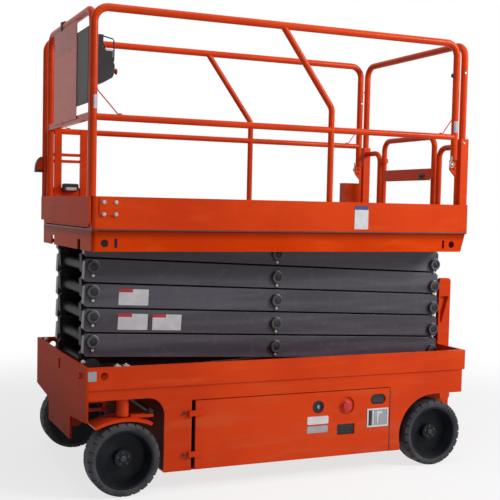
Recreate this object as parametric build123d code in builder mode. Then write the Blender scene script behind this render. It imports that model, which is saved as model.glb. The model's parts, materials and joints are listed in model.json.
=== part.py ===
# Self-propelled scissor lift with five arm levels, a railed platform and a roll-out deck.
# Frame: millimetres, +X toward the steered wheels, +Y to the left, +Z up, floor at Z = 0.
import os
from math import asin, atan2, cos, hypot, radians, sin

from build123d import *

os.makedirs("parts", exist_ok=True)

# ---------------------------------------------------------------- fits
RUN_FIT = 0.08
GLUE_GAP = 0.05
SEAT_GAP = 0.3
TOUCH = 0.01
SLIDE_GAP = 1.0
OPEN_PIN_GAP = 3.0
SHEET_T = 8.0

# ---------------------------------------------------------------- wheels
WHEELBASE = 1870.0
MID_X = 40.0
FRONT_AXLE_X = MID_X + WHEELBASE / 2.0
REAR_AXLE_X = MID_X - WHEELBASE / 2.0
WHEEL_R = 190.5
WHEEL_W = 127.0
WHEEL_OUT_Y = 581.0
WHEEL_Y = WHEEL_OUT_Y - WHEEL_W / 2.0
WHEEL_IN_Y = WHEEL_OUT_Y - WHEEL_W
TYRE_SHOULDER = 12.0
RIM_R = 152.0
RIM_LIP = 9.0
RIM_DISH_DEPTH = 70.0
RIM_DISH_TAPER = 20.0
RIM_INSET = 5.0
HUB_R = 44.0
HUB_H = 34.0
HUB_FLARE = 4.0
HUB_CAP_T = 8.0
STUB_R = 24.0
STUB_REACH = 74.0
STUB_FLANGE_R = STUB_R * 2.5
STUB_FLANGE_T = 8.0

# ---------------------------------------------------------------- chassis
FRONT_X = FRONT_AXLE_X + 206.0
BAND_Y = 574.0
BAND_T = 16.0
WALL_Y = BAND_Y - 8.0
WALL_IN_Y = WALL_Y - SHEET_T
BELLY_Z = 106.0
BAND_LOW_Z = 555.0
BAND_TOP_Z = 670.0
TUB_Z = 574.0
FRONT_T = 12.0
FRONT_LOW_Z = 394.0
APRON_Y = 250.0
APRON_LOW_Z = 240.0
APRON_SLOPE = 30.0
BAY_REAR_X = FRONT_AXLE_X - 211.0
BAY_TOP_Z = 500.0
BAY_CORNER_R = 92.0
REAR_T = 14.0
REAR_STEP = 12.0
REAR_ARCH_R = WHEEL_R + 37.5
REAR_ARCH_Z = WHEEL_R / 1.5
REAR_ARCH_FOOT = REAR_ARCH_R - 6.0
REAR_LOW_Z = 420.0
REAR_WALL_Y = WHEEL_IN_Y - 14.0
REAR_BELLY_Z = 160.0
REAR_BULKHEAD_X = REAR_AXLE_X + 232.0
TIE_DOWN_R = 20.0
TIE_DOWN_X = FRONT_X - 92.0
TIE_DOWN_Z = BAND_TOP_Z - 46.0
TIE_SLOT_W = 36.0
TIE_SLOT_TOP_Z = BAND_TOP_Z - 36.0
TIE_SLOT_LOW_Z = TUB_Z + 4.0
KNOB_R = 15.0
KNOB_H = 10.0
KNOB_Y = BAND_Y - 115.0
KNOB_Z = TIE_DOWN_Z - 11.0
TAB_X = REAR_AXLE_X - 80.0
TAB_Z = REAR_LOW_Z - 12.0
TAB_R = 34.0
TRAY_REAR_GAP = 60.0
TRAY_FRONT_GAP = 100.0
TRAY_TOP_GAP = 60.0
TRAY_SIDE_GAP = 30.0

# ---------------------------------------------------------------- doors
DOOR_T = 14.0
DOOR_FRONT_X = FRONT_AXLE_X - 361.0
DOOR_REAR_X = REAR_AXLE_X + 298.0
DOOR_TOP_Z = 476.0
DOOR_LOW_Z = BELLY_Z + 3.0
DOOR_GAP = 4.0
DOOR_HINGE_GAP = 20.0
DOOR_HINGE_R = 8.0
DOOR_HINGE_X = DOOR_FRONT_X + 14.0
DOOR_HINGE_Y = WALL_Y + DOOR_HINGE_R + 3.0
HINGE_L = 30.0
HINGE_LEAF = 40.0
HINGE_LOW_Z = DOOR_LOW_Z + 67.0
HINGE_TOP_Z = DOOR_TOP_Z - 84.0
RECESS_DEPTH = 9.0
STOP_X = MID_X - 350.0
STOP_Z = 388.0
STOP_RECESS_R = 50.0
STOP_R = 21.0
STOP_PROUD = 4.0
GAUGE_X = MID_X - 172.0
GAUGE_Z = STOP_Z + 4.0
GAUGE_R = 36.0
GRIP_X = MID_X - 557.0
GRIP_Z = 412.0
GRIP_W = 100.0
GRIP_H = 58.0
WINDOW_Z = 255.0
WINDOW_W = 112.0
WINDOW_H = 60.0

# ---------------------------------------------------------------- scissor stack
LEVELS = 5
ARM_OVERHANG = 265.0
ARM_L = WHEELBASE + ARM_OVERHANG
PITCH = 131.0
PIVOT_X = FRONT_X - 97.0
BASE_PIN_Z = 633.0
BEAM_H = 121.0
BEAM_FRONT_END = 46.0
BEAM_REAR_END = 30.0
PIN_OFFSET = 19.0
BEAM_CUT = 15.0
BEAM_W = 48.0
BEAM_GAP = 8.0
INNER_Y0 = 216.0
INNER_Y1 = INNER_Y0 + BEAM_W
OUTER_Y0 = INNER_Y1 + BEAM_GAP
OUTER_Y1 = OUTER_Y0 + BEAM_W
PIN_R = 20.0
PIN_TIP_Y = INNER_Y0 + 4.0
BOSS_R = 32.0
BOSS_H = 20.0
BOSS_HOLLOW_R = 21.0
BOSS_HOLLOW = 6.0
TUBE_R = 30.0
EYE_TUBE_R = 25.0
LUG_R = 42.0
LIFT_MAX_DEG = 40.0
REST_ANGLE = asin(PITCH / ARM_L)
SPAN_X = ARM_L * cos(REST_ANGLE)
SLIDE_X = PIVOT_X - SPAN_X
CENTRE_X = PIVOT_X - SPAN_X / 2.0
SLIDE_END_X = PIVOT_X - ARM_L * cos(REST_ANGLE + radians(LIFT_MAX_DEG))
REAR_X = SLIDE_X - 60.0
REAR_WALL_X = REAR_X + REAR_STEP + SHEET_T

# ---------------------------------------------------------------- slide blocks and their channels
BLOCK_W = 44.0
BLOCK_Y1 = INNER_Y0 - 8.0
BLOCK_Y0 = BLOCK_Y1 - BLOCK_W
BLOCK_H = 44.0
BLOCK_L = 78.0
CHANNEL_T = 6.0
CHANNEL_END_X = SLIDE_END_X + BLOCK_L / 2.0 + 30.0
SLOT_R = PIN_R + 3.0

# ---------------------------------------------------------------- lift cylinder
BARREL_EYE_S = 265.0
ROD_EYE_S = 1765.0
ROD_EYE_DROP = 42.0
ROD_TUBE_RISE = 28.0
BARREL_R = 45.0
ROD_R = 28.0
BARREL_EYE_R = 48.0
ROD_EYE_R = 36.0
EYE_HALF_W = 38.0
LUG_GAP = 6.0
LUG_T = 14.0
LUG_HALF_W = 30.0
ROD_PIN_R = 18.0
ROD_SHOWN = 120.0
GLAND_L = 40.0
GLAND_PROUD = 6.0

# ---------------------------------------------------------------- rear ladder
LADDER_Y = 300.0
LADDER_POST_W = 28.0
LADDER_POCKET = 22.0
LADDER_DEPTH = 84.0
LADDER_LOW_Z = 300.0
LADDER_TOP_Z = 1072.0
LADDER_CORNER_R = 22.0
POCKET_TOP_Z = 960.0
POCKET_LOW_Z = 798.0
POCKET_REAR_EDGE = 14.0
POCKET_FRONT_EDGE = 12.0
POCKET_SLANT = 46.0
RUNG_H = 30.0
RUNG_T = 5.0
RUNG_EDGE = 4.0
RUNG_LOW_Z = LADDER_LOW_Z + 40.0
RUNG_HIGH_Z = LADDER_TOP_Z - 50.0
RUNGS = 3

# ---------------------------------------------------------------- platform
PLAT_FRONT_X = FRONT_X - 24.0
PLAT_REAR_X = REAR_X + 8.0
PLAT_REAR_SLANT = 35.0
REAR_PLATE_T = 6.0
NOTCH_TOP_GAP = 12.0
TOE_Y = 558.0
TOE_T = 8.0
TOE_H = 162.0
FRAME_Y = TOE_Y - 8.0
FLOOR_RISE = 72.0
FLOOR_Z = BASE_PIN_Z + PITCH * LEVELS + FLOOR_RISE
FLOOR_T = 8.0
FLOOR_LOW_Z = FLOOR_Z - FLOOR_T
FRAME_LOW_Z = FLOOR_Z - 113.0
FRAME_FLANGE = 40.0
TOE_TOP_Z = FLOOR_Z + TOE_H
CORNER_W = 44.0
CORNER_R = 22.0
RAIL_R = 20.0
MID_RAIL_R = 17.0
RAIL_H = 1092.0
RAIL_MID_H = 554.0
RAIL_TOP_Z = FLOOR_Z + RAIL_H
RAIL_MID_Z = FLOOR_Z + RAIL_MID_H
RAIL_Y = TOE_Y - TOE_T - RAIL_R - 0.5
RAIL_BEND_R = 75.0
SIDE_FRONT_X = PLAT_FRONT_X - 5.0
CORNER_X = SIDE_FRONT_X - CORNER_W / 2.0
SIDE_REAR_X = PLAT_REAR_X + 89.0
SIDE_REAR_LOW_H = 420.0
SIDE_REAR_LOW_Z = FLOOR_Z + SIDE_REAR_LOW_H
POST_TOP_X = MID_X + 80.0
POST_LOW_X = MID_X - 230.0
POST_KNEE_H = 672.0
POST_KNEE_Z = FLOOR_Z + POST_KNEE_H
POST_BEND_R = 60.0
FOOT_HOLE_R = 20.0
FOOT_FRONT_X = PLAT_FRONT_X - 66.0
FOOT_REAR_X = PLAT_REAR_X + 100.0
FOOT_HOLE_Z = FRAME_LOW_Z + 42.0
FOOT_SLOT_W = 16.0
FOOT_SLOT_H = 46.0
FOOT_SLOT_STEP = 58.0
BOLT_PLATE_W = 100.0
BOLT_PLATE_H = 88.0
BOLT_PLATE_T = 5.0
BOLT_PLATE_DROP = 6.0
BOLT_PLATE_STEP = 8.0

# ---------------------------------------------------------------- rear hoop and gate
HOOP_X = PLAT_REAR_X + 34.0
HOOP_FOOT_W = 25.0
HOOP_FOOT_H = 545.0
LOOP_H = 502.0
LOOP_TOP_Z = FLOOR_Z + LOOP_H
LOOP_GAP = 52.0
GATE_TOP_H = 575.0
GATE_LOW_H = 40.0
GATE_TOP_Z = FLOOR_Z + GATE_TOP_H
GATE_LOW_Z = FLOOR_Z + GATE_LOW_H
GATE_Y0 = -292.0
GATE_Y1 = 262.0
GATE_R = 17.0
GATE_BEND_R = 62.0
GATE_BAR_RISE = 347.0
GATE_BAR_Z = FLOOR_Z + GATE_BAR_RISE
GATE_BAR_H = 50.0
GATE_BAR_T = 16.0
STRAP_H = 30.0
STRAP_T = 16.0
STRAP_WALL = 8.0
STRAP_LOW_Z = GATE_LOW_Z + 40.0
STRAP_HIGH_Z = GATE_TOP_Z - GATE_BEND_R - STRAP_H - 50.0
BRACKET_T = 12.0
BRACKET_EAR_H = 55.0
BRACKET_NECK_H = 95.0
BRACKET_NECK_W = 18.0
BRACKET_LAP = 6.0
OUTLET_X = SIDE_REAR_X + 10.0
OUTLET_L = 120.0
OUTLET_W = 70.0
OUTLET_TOP_Z = TOE_TOP_Z + 138.0

# ---------------------------------------------------------------- roll-out deck
DECK_Y = 505.0
DECK_FRONT_X = PLAT_FRONT_X + 14.0
DECK_L = 1085.0
DECK_REAR_X = DECK_FRONT_X - DECK_L
DECK_T = 6.0
DECK_Z = FLOOR_Z + 6.0
DECK_TOE_LOW_Z = FLOOR_Z + 24.0
DECK_TOE_TOP_Z = FLOOR_Z + 162.0
DECK_LIP_H = 74.0
DECK_LIP_T = 6.0
DECK_SILL_L = 46.0
DECK_SILL_TOP_Z = DECK_TOE_LOW_Z + 10.0
DECK_RUNNER_W = 30.0
DECK_POST_X = DECK_FRONT_X - 32.0
DECK_POST_Y = 460.0
DECK_RAIL_H = 1098.0
DECK_MID_H = 566.0
DECK_TOP_Z = FLOOR_Z + DECK_RAIL_H
DECK_BAR_Z = FLOOR_Z + DECK_MID_H
DECK_BAR_H = 34.0
DECK_BAR_W = 30.0
PANEL_T = 3.0
PANEL_Y0 = -292.0
PANEL_Y1 = 215.0
STAND_H = 560.0
STAND_TOP_Z = FLOOR_Z + STAND_H
STAND_POST_W = 42.0
STAND_POST_T = 20.0
STAND_BAR_T = 8.0
STAND_BAR_H = 18.0
STAND_NEAR_X = DECK_POST_X - 45.0
STAND_FAR_X = DECK_POST_X - 200.0
STAND_BAR_DROPS = (20.0, 150.0, 188.0)
STAND_KICK_H = 217.0
BOX_Y0 = 250.0
BOX_Y1 = 436.0
BOX_DEPTH = 130.0
BOX_TOP_DEPTH = 78.0
BOX_CHIN_DEPTH = 80.0
BOX_RISE = 735.0
BOX_LOW_Z = FLOOR_Z + BOX_RISE
BOX_H = 240.0
BOX_SHELF_H = 140.0
BOX_SHELF_RISE = 36.0
BOX_SHELF_CUT = 12.0
BOX_PLATE_T = 4.0
BOX_PLATE_Y0 = PANEL_Y1 - 60.0
BOX_PLATE_LOW_Z = BOX_LOW_Z - 105.0
BOX_PLATE_TOP_Z = BOX_LOW_Z + BOX_H + 35.0
BOX_BACK_RISE = 20.0
BOX_LIP_RISE = 30.0

# ---------------------------------------------------------------- steering
KING_R = 18.0
KING_TUBE_R = 31.0
YOKE_TOP_Z = WHEEL_R * 2.0 + 22.0
YOKE_T = 16.0
YOKE_BOW_R = 380.0
YOKE_FRONT_TURN = 25.0
YOKE_REAR_TURN = 23.0
YOKE_END_R = 5.0
YOKE_OUT_Y = WHEEL_OUT_Y - 9.0
KING_TUBE_LOW_Z = YOKE_TOP_Z + 5.0
KING_TOP_GAP = 4.0
LEG_Y0 = WHEEL_IN_Y - 24.0
LEG_T = 14.0
LEG_HALF_W = 50.0
STEER_ARM = 150.0
STEER_ARM_HALF_W = 18.0
STEER_ARM_T = 8.0
STEER_ARM_GAP = 9.0
STEER_PIN_R = 10.0
TIE_R = 12.0
TIE_EYE_R = 20.0
TIE_EYE_H = 18.0
TIE_Z = YOKE_TOP_Z + 21.0
STEER_PIN_TOP_Z = TIE_Z + 14.0
EAR_X = FRONT_AXLE_X + 66.0
EAR_Y = 405.0
EAR_R = 20.0
EAR_T = 10.0
EAR_LEVELS = (KING_TUBE_LOW_Z + 10.0, KING_TUBE_LOW_Z + 54.0)
EAR_PIN_LOW_Z = KING_TUBE_LOW_Z + 4.0
EAR_PIN_TOP_Z = KING_TUBE_LOW_Z + 70.0

SIDES = [("left", 1), ("right", -1)]


def span(side, a, b):
    """Low and high Y of a stretch that is a to b from the middle, on the given side."""
    return (a, b) if side > 0 else (-b, -a)


def block(x0, x1, y0, y1, z0, z1, mode=Mode.ADD):
    with Locations(((x0 + x1) / 2.0, (y0 + y1) / 2.0, (z0 + z1) / 2.0)):
        Box(x1 - x0, y1 - y0, z1 - z0, mode=mode)


def rod_y(x, z, radius, y0, y1, mode=Mode.ADD):
    with Locations(Location((x, (y0 + y1) / 2.0, z), (90, 0, 0))):
        Cylinder(radius, y1 - y0, mode=mode)


def rod_x(y, z, radius, x0, x1, mode=Mode.ADD):
    with Locations(Location(((x0 + x1) / 2.0, y, z), (0, 90, 0))):
        Cylinder(radius, x1 - x0, mode=mode)


def rod_z(x, y, radius, z0, z1, mode=Mode.ADD):
    with Locations((x, y, (z0 + z1) / 2.0)):
        Cylinder(radius, z1 - z0, mode=mode)


def round_front_corners(builder):
    """Rounds the upright edges where the platform's front meets its sides."""
    corners = []
    for edge in builder.edges().filter_by(Axis.Z):
        place = edge.center()
        if abs(place.X - PLAT_FRONT_X) < TOUCH and abs(abs(place.Y) - TOE_Y) < TOUCH:
            corners.append(edge)
    fillet(corners, CORNER_R)


def side_plate(points, y0, y1, mode=Mode.ADD):
    """Plate with an outline of (x, z) points, from y0 to y1."""
    with BuildSketch(Plane.XZ.offset(-y1)) as profile:
        with BuildLine():
            Polyline(*points, close=True)
        make_face()
    extrude(profile.sketch, amount=y1 - y0, mode=mode)


def cross_plate(points, x0, x1, mode=Mode.ADD):
    """Plate with an outline of (y, z) points, from x0 to x1."""
    with BuildSketch(Plane.YZ.offset(x0)) as profile:
        with BuildLine():
            Polyline(*points, close=True)
        make_face()
    extrude(profile.sketch, amount=x1 - x0, mode=mode)


def slot_plate(x, z, length, height, y0, y1, mode=Mode.SUBTRACT):
    """Round-ended slot along X, centred on (x, z)."""
    with BuildSketch(Plane.XZ.offset(-y1)) as profile:
        with Locations((x, z)):
            SlotOverall(length, height)
    extrude(profile.sketch, amount=y1 - y0, mode=mode)


def bent_rod(points, bend, radius):
    """Round bar with bends at its corners, swept one straight or bend at a time."""
    with BuildLine() as path:
        FilletPolyline(*points, radius=bend)
    for stretch in path.line.edges():
        with BuildSketch(Plane(origin=stretch @ 0, z_dir=stretch % 0)) as profile:
            Circle(radius)
        sweep(profile.sketch, path=stretch)


def save(part, label):
    part.label = label
    export_step(part, "parts/" + label + ".step")


# ================================================================ chassis
with BuildPart() as chassis_sides:
    for _, side in SIDES:
        # side band, proud of the lower wall
        y0, y1 = span(side, BAND_Y - BAND_T, BAND_Y)
        block(REAR_X + REAR_T, FRONT_X - FRONT_T, y0, y1, BAND_LOW_Z, BAND_TOP_Z)
        rod_y(TIE_DOWN_X, TIE_DOWN_Z, TIE_DOWN_R, y0, y1, Mode.SUBTRACT)
        # lower wall with the front wheel bay, the rear arch and the door opening cut from it
        y0, y1 = span(side, WALL_IN_Y, WALL_Y)
        block(REAR_WALL_X, FRONT_X - FRONT_T, y0, y1, BELLY_Z, BAND_LOW_Z)
        corner_x = BAY_REAR_X + BAY_CORNER_R
        corner_z = BAY_TOP_Z - BAY_CORNER_R
        block(corner_x, FRONT_X, y0, y1, BELLY_Z, BAY_TOP_Z, Mode.SUBTRACT)
        block(BAY_REAR_X, FRONT_X, y0, y1, BELLY_Z, corner_z, Mode.SUBTRACT)
        rod_y(corner_x, corner_z, BAY_CORNER_R, y0, y1, Mode.SUBTRACT)
        rod_y(REAR_AXLE_X, WHEEL_R, REAR_ARCH_R, y0, y1, Mode.SUBTRACT)
        block(REAR_X, REAR_AXLE_X, y0, y1, BELLY_Z, REAR_LOW_Z, Mode.SUBTRACT)
        block(REAR_X, REAR_AXLE_X + REAR_ARCH_FOOT, y0, y1, BELLY_Z, REAR_ARCH_Z, Mode.SUBTRACT)
        rod_y(TAB_X, TAB_Z, TAB_R, y0, y1)
        block(DOOR_REAR_X, DOOR_FRONT_X, y0, y1, BELLY_Z, DOOR_TOP_Z, Mode.SUBTRACT)
save(chassis_sides.part, "chassis_sides")

# tub floor, roof of the wheel bays and belly
with BuildPart() as chassis_floors:
    block(REAR_X + REAR_T, FRONT_X - FRONT_T, -WALL_IN_Y, WALL_IN_Y, TUB_Z - SHEET_T, TUB_Z)
    block(BAY_REAR_X - SHEET_T, FRONT_X - FRONT_T, -WALL_IN_Y, WALL_IN_Y, BAY_TOP_Z, BAY_TOP_Z + SHEET_T)
    block(REAR_BULKHEAD_X, BAY_REAR_X, -WALL_IN_Y, WALL_IN_Y, BELLY_Z, BELLY_Z + SHEET_T)
save(chassis_floors.part, "chassis_floors")

# cross walls behind the front wheels and ahead of the rear wheels
with BuildPart() as chassis_bulkheads:
    block(BAY_REAR_X - SHEET_T, BAY_REAR_X, -WALL_IN_Y, WALL_IN_Y, BELLY_Z + SHEET_T, BAY_TOP_Z)
    block(REAR_BULKHEAD_X - SHEET_T, REAR_BULKHEAD_X, -WALL_IN_Y, WALL_IN_Y, BELLY_Z, TUB_Z - SHEET_T)
save(chassis_bulkheads.part, "chassis_bulkheads")

# rear plate in three steps, and the box between the rear wheels
with BuildPart() as rear_box:
    block(REAR_X, REAR_X + REAR_T, -BAND_Y, BAND_Y, BAND_LOW_Z, BAND_TOP_Z)
    block(REAR_WALL_X - SHEET_T, REAR_WALL_X, -WALL_Y, WALL_Y, REAR_LOW_Z, BAND_LOW_Z)
    block(REAR_WALL_X - SHEET_T, REAR_WALL_X, -REAR_WALL_Y, REAR_WALL_Y, REAR_BELLY_Z, REAR_LOW_Z)
    for _, side in SIDES:
        y0, y1 = span(side, REAR_WALL_Y - SHEET_T, REAR_WALL_Y)
        block(REAR_WALL_X, REAR_BULKHEAD_X - SHEET_T, y0, y1, REAR_BELLY_Z, TUB_Z - SHEET_T)
    box_y = REAR_WALL_Y - SHEET_T
    block(REAR_WALL_X, REAR_BULKHEAD_X - SHEET_T, -box_y, box_y, REAR_BELLY_Z, REAR_BELLY_Z + SHEET_T)
save(rear_box.part, "rear_box")

with BuildPart() as front_plate:
    cross_plate(
        [
            (-BAND_Y, BAND_TOP_Z),
            (BAND_Y, BAND_TOP_Z),
            (BAND_Y, FRONT_LOW_Z),
            (APRON_Y, FRONT_LOW_Z - APRON_SLOPE),
            (APRON_Y, APRON_LOW_Z),
            (-APRON_Y, APRON_LOW_Z),
            (-APRON_Y, FRONT_LOW_Z - APRON_SLOPE),
            (-BAND_Y, FRONT_LOW_Z),
        ],
        FRONT_X - FRONT_T,
        FRONT_X,
    )
    half = TIE_SLOT_W / 2.0
    block(FRONT_X - FRONT_T, FRONT_X, -half, half, TIE_SLOT_LOW_Z, TIE_SLOT_TOP_Z, Mode.SUBTRACT)
    rod_x(KNOB_Y, KNOB_Z, KNOB_R, FRONT_X, FRONT_X + KNOB_H)
save(front_plate.part, "front_plate")

# steps up the rear: two box posts with a pocket in the outer face, joined by rungs
with BuildPart() as rear_ladder:
    x0 = REAR_X - LADDER_DEPTH
    for _, side in SIDES:
        y0, y1 = span(side, LADDER_Y - LADDER_POST_W, LADDER_Y)
        with BuildSketch(Plane.XZ.offset(-y1)) as profile:
            with BuildLine():
                FilletPolyline(
                    (x0, LADDER_LOW_Z),
                    (REAR_X, LADDER_LOW_Z),
                    (REAR_X, LADDER_TOP_Z),
                    (x0, LADDER_TOP_Z),
                    radius=LADDER_CORNER_R,
                    close=True,
                )
            make_face()
        extrude(profile.sketch, amount=y1 - y0)
        y0, y1 = span(side, LADDER_Y - LADDER_POCKET, LADDER_Y)
        side_plate(
            [
                (x0 + POCKET_REAR_EDGE, POCKET_TOP_Z),
                (REAR_X - POCKET_FRONT_EDGE, POCKET_TOP_Z),
                (REAR_X - POCKET_FRONT_EDGE, POCKET_LOW_Z),
                (x0 + POCKET_REAR_EDGE + POCKET_SLANT, POCKET_LOW_Z),
            ],
            y0,
            y1,
            Mode.SUBTRACT,
        )
    inside = LADDER_Y - LADDER_POST_W
    for rung in range(RUNGS):
        low = RUNG_LOW_Z + rung * (RUNG_HIGH_Z - RUNG_LOW_Z) / (RUNGS - 1)
        block(x0 + RUNG_EDGE, REAR_X - RUNG_EDGE, -inside, inside, low, low + RUNG_H)
        edge = RUNG_EDGE + RUNG_T
        block(x0 + edge, REAR_X - edge, -inside, inside, low, low + RUNG_H - RUNG_T, Mode.SUBTRACT)
save(rear_ladder.part, "rear_ladder")

# lugs of the fixed front pivots and channels of the sliding rear ends
with BuildPart() as arm_supports:
    half = BLOCK_H / 2.0 + SLIDE_GAP
    for _, side in SIDES:
        y0, y1 = span(side, OUTER_Y0, OUTER_Y1)
        rod_y(PIVOT_X, BASE_PIN_Z, LUG_R, y0, y1)
        block(PIVOT_X - LUG_R, PIVOT_X + LUG_R, y0, y1, TUB_Z, BASE_PIN_Z)
        y0, y1 = span(side, PIN_TIP_Y, OUTER_Y0)
        rod_y(PIVOT_X, BASE_PIN_Z, PIN_R, y0, y1)
        x0 = REAR_X + REAR_T
        y0, y1 = span(side, BLOCK_Y0 - SLIDE_GAP, BLOCK_Y1)
        block(x0, CHANNEL_END_X, y0, y1, TUB_Z, BASE_PIN_Z - half)
        block(x0, CHANNEL_END_X, y0, y1, BASE_PIN_Z + half, BASE_PIN_Z + half + CHANNEL_T)
        y0, y1 = span(side, BLOCK_Y0 - SLIDE_GAP - CHANNEL_T, BLOCK_Y0 - SLIDE_GAP)
        block(x0, CHANNEL_END_X, y0, y1, TUB_Z, BASE_PIN_Z + half + CHANNEL_T)
        rod_y(SLIDE_X, BASE_PIN_Z, SLOT_R, y0, y1, Mode.SUBTRACT)
        block(SLIDE_X, SLIDE_END_X, y0, y1, BASE_PIN_Z - SLOT_R, BASE_PIN_Z + SLOT_R, Mode.SUBTRACT)
        rod_y(SLIDE_END_X, BASE_PIN_Z, SLOT_R, y0, y1, Mode.SUBTRACT)
save(arm_supports.part, "arm_supports")

# kingpin tubes and steering ears at the front, axle stubs at the rear
with BuildPart() as wheel_mounts:
    for _, side in SIDES:
        rod_z(FRONT_AXLE_X, side * WHEEL_Y, KING_TUBE_R, KING_TUBE_LOW_Z, BAY_TOP_Z)
        rod_z(FRONT_AXLE_X, side * WHEEL_Y, KING_R + RUN_FIT, KING_TUBE_LOW_Z, BAY_TOP_Z, Mode.SUBTRACT)
        y0, y1 = span(side, EAR_Y - EAR_R, EAR_Y + EAR_R)
        for low in EAR_LEVELS:
            block(EAR_X, FRONT_X - FRONT_T, y0, y1, low, low + EAR_T)
            rod_z(EAR_X, side * EAR_Y, EAR_R, low, low + EAR_T)
        rod_z(EAR_X, side * EAR_Y, EAR_R / 2.0, EAR_PIN_LOW_Z, EAR_PIN_TOP_Z)
        y0, y1 = span(side, REAR_WALL_Y, REAR_WALL_Y + STUB_FLANGE_T)
        rod_y(REAR_AXLE_X, WHEEL_R, STUB_FLANGE_R, y0, y1)
        y0, y1 = span(side, REAR_WALL_Y + STUB_FLANGE_T, WHEEL_IN_Y + STUB_REACH)
        rod_y(REAR_AXLE_X, WHEEL_R, STUB_R, y0, y1)
save(wheel_mounts.part, "wheel_mounts")

# batteries on the left and the pump set on the right, as plain masses
with BuildPart() as tray_blocks:
    for _, side in SIDES:
        y0, y1 = span(side, BLOCK_Y0, WALL_IN_Y - TRAY_SIDE_GAP)
        x0 = DOOR_REAR_X + TRAY_REAR_GAP
        x1 = DOOR_FRONT_X - TRAY_FRONT_GAP
        block(x0, x1, y0, y1, BELLY_Z + SHEET_T, DOOR_TOP_Z - TRAY_TOP_GAP)
save(tray_blocks.part, "tray_blocks")

for label, side in SIDES:
    with BuildPart() as door:
        y0, y1 = span(side, WALL_IN_Y, WALL_IN_Y + DOOR_T)
        front = DOOR_FRONT_X - DOOR_HINGE_GAP
        block(DOOR_REAR_X + DOOR_GAP, front, y0, y1, DOOR_LOW_Z, DOOR_TOP_Z - DOOR_GAP)
        face = WALL_IN_Y + DOOR_T
        for low in (HINGE_LOW_Z, HINGE_TOP_Z):
            rod_z(DOOR_HINGE_X, side * DOOR_HINGE_Y, DOOR_HINGE_R, low, low + HINGE_L)
            y0, y1 = span(side, face, DOOR_HINGE_Y)
            block(front - HINGE_LEAF, DOOR_HINGE_X, y0, y1, low, low + HINGE_L)
        if side > 0:
            y0, y1 = face - RECESS_DEPTH, face
            rod_y(STOP_X, STOP_Z, STOP_RECESS_R, y0, y1, Mode.SUBTRACT)
            rod_y(STOP_X, STOP_Z, STOP_R, y0, y1 + STOP_PROUD)
            rod_y(GAUGE_X, GAUGE_Z, GAUGE_R, y0, y1, Mode.SUBTRACT)
            slot_plate(GRIP_X, GRIP_Z, GRIP_W, GRIP_H, y0, y1)
            block(
                STOP_X - WINDOW_W / 2.0,
                STOP_X + WINDOW_W / 2.0,
                y0,
                y1,
                WINDOW_Z - WINDOW_H / 2.0,
                WINDOW_Z + WINDOW_H / 2.0,
                Mode.SUBTRACT,
            )
        else:
            slot_plate(GRIP_X, GRIP_Z, GRIP_W, GRIP_H, -face, RECESS_DEPTH - face)
    save(door.part, "door_" + label)

# ================================================================ steering
for label, side in SIDES:
    with BuildPart() as knuckle:
        king_y = side * WHEEL_Y
        under_z = YOKE_TOP_Z - YOKE_T
        seat_z = YOKE_TOP_Z - YOKE_T / 2.0
        # yoke plate bowed over the tyre, its two faces on arcs about one middle
        y0, y1 = span(side, LEG_Y0, YOKE_OUT_Y)
        middle = (FRONT_AXLE_X, YOKE_TOP_Z - YOKE_BOW_R)
        start = 90.0 - YOKE_FRONT_TURN
        turn = YOKE_FRONT_TURN + YOKE_REAR_TURN
        with BuildSketch(Plane.XZ.offset(-y1)) as bow:
            with BuildLine():
                over = CenterArc(middle, YOKE_BOW_R, start, turn)
                under = CenterArc(middle, YOKE_BOW_R - YOKE_T, start, turn)
                Line(over @ 0, under @ 0)
                Line(over @ 1, under @ 1)
            make_face()
            fillet(bow.vertices(), YOKE_END_R)
        extrude(bow.sketch, amount=y1 - y0)
        # leg down the inner side of the wheel, with the axle stub
        y0, y1 = span(side, LEG_Y0, LEG_Y0 + LEG_T)
        block(FRONT_AXLE_X - LEG_HALF_W, FRONT_AXLE_X + LEG_HALF_W, y0, y1, WHEEL_R, under_z)
        rod_y(FRONT_AXLE_X, WHEEL_R, LEG_HALF_W, y0, y1)
        y0, y1 = span(side, LEG_Y0 + LEG_T, WHEEL_IN_Y + STUB_REACH)
        rod_y(FRONT_AXLE_X, WHEEL_R, STUB_R, y0, y1)
        rod_z(FRONT_AXLE_X, king_y, KING_R, seat_z, BAY_TOP_Z - KING_TOP_GAP)
        # steering arm with its pin
        arm_x = FRONT_AXLE_X - STEER_ARM
        arm_end = FRONT_AXLE_X - KING_TUBE_R - STEER_ARM_GAP
        y0 = king_y - STEER_ARM_HALF_W
        y1 = king_y + STEER_ARM_HALF_W
        arm_top = YOKE_TOP_Z + STEER_ARM_T
        block(arm_x, arm_end, y0, y1, seat_z, arm_top)
        rod_z(arm_x, king_y, STEER_ARM_HALF_W, seat_z, arm_top)
        rod_z(arm_x, king_y, STEER_PIN_R, arm_top, STEER_PIN_TOP_Z)
    save(knuckle.part, "knuckle_" + label)

with BuildPart() as tie_rod:
    arm_x = FRONT_AXLE_X - STEER_ARM
    rod_y(arm_x, TIE_Z, TIE_R, -WHEEL_Y + TIE_R, WHEEL_Y - TIE_R)
    for _, side in SIDES:
        rod_z(arm_x, side * WHEEL_Y, TIE_EYE_R, TIE_Z - TIE_EYE_H / 2.0, TIE_Z + TIE_EYE_H / 2.0)
    for _, side in SIDES:
        rod_z(arm_x, side * WHEEL_Y, STEER_PIN_R + RUN_FIT, TIE_Z - TIE_R, TIE_Z + TIE_R, Mode.SUBTRACT)
save(tie_rod.part, "tie_rod")

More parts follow.
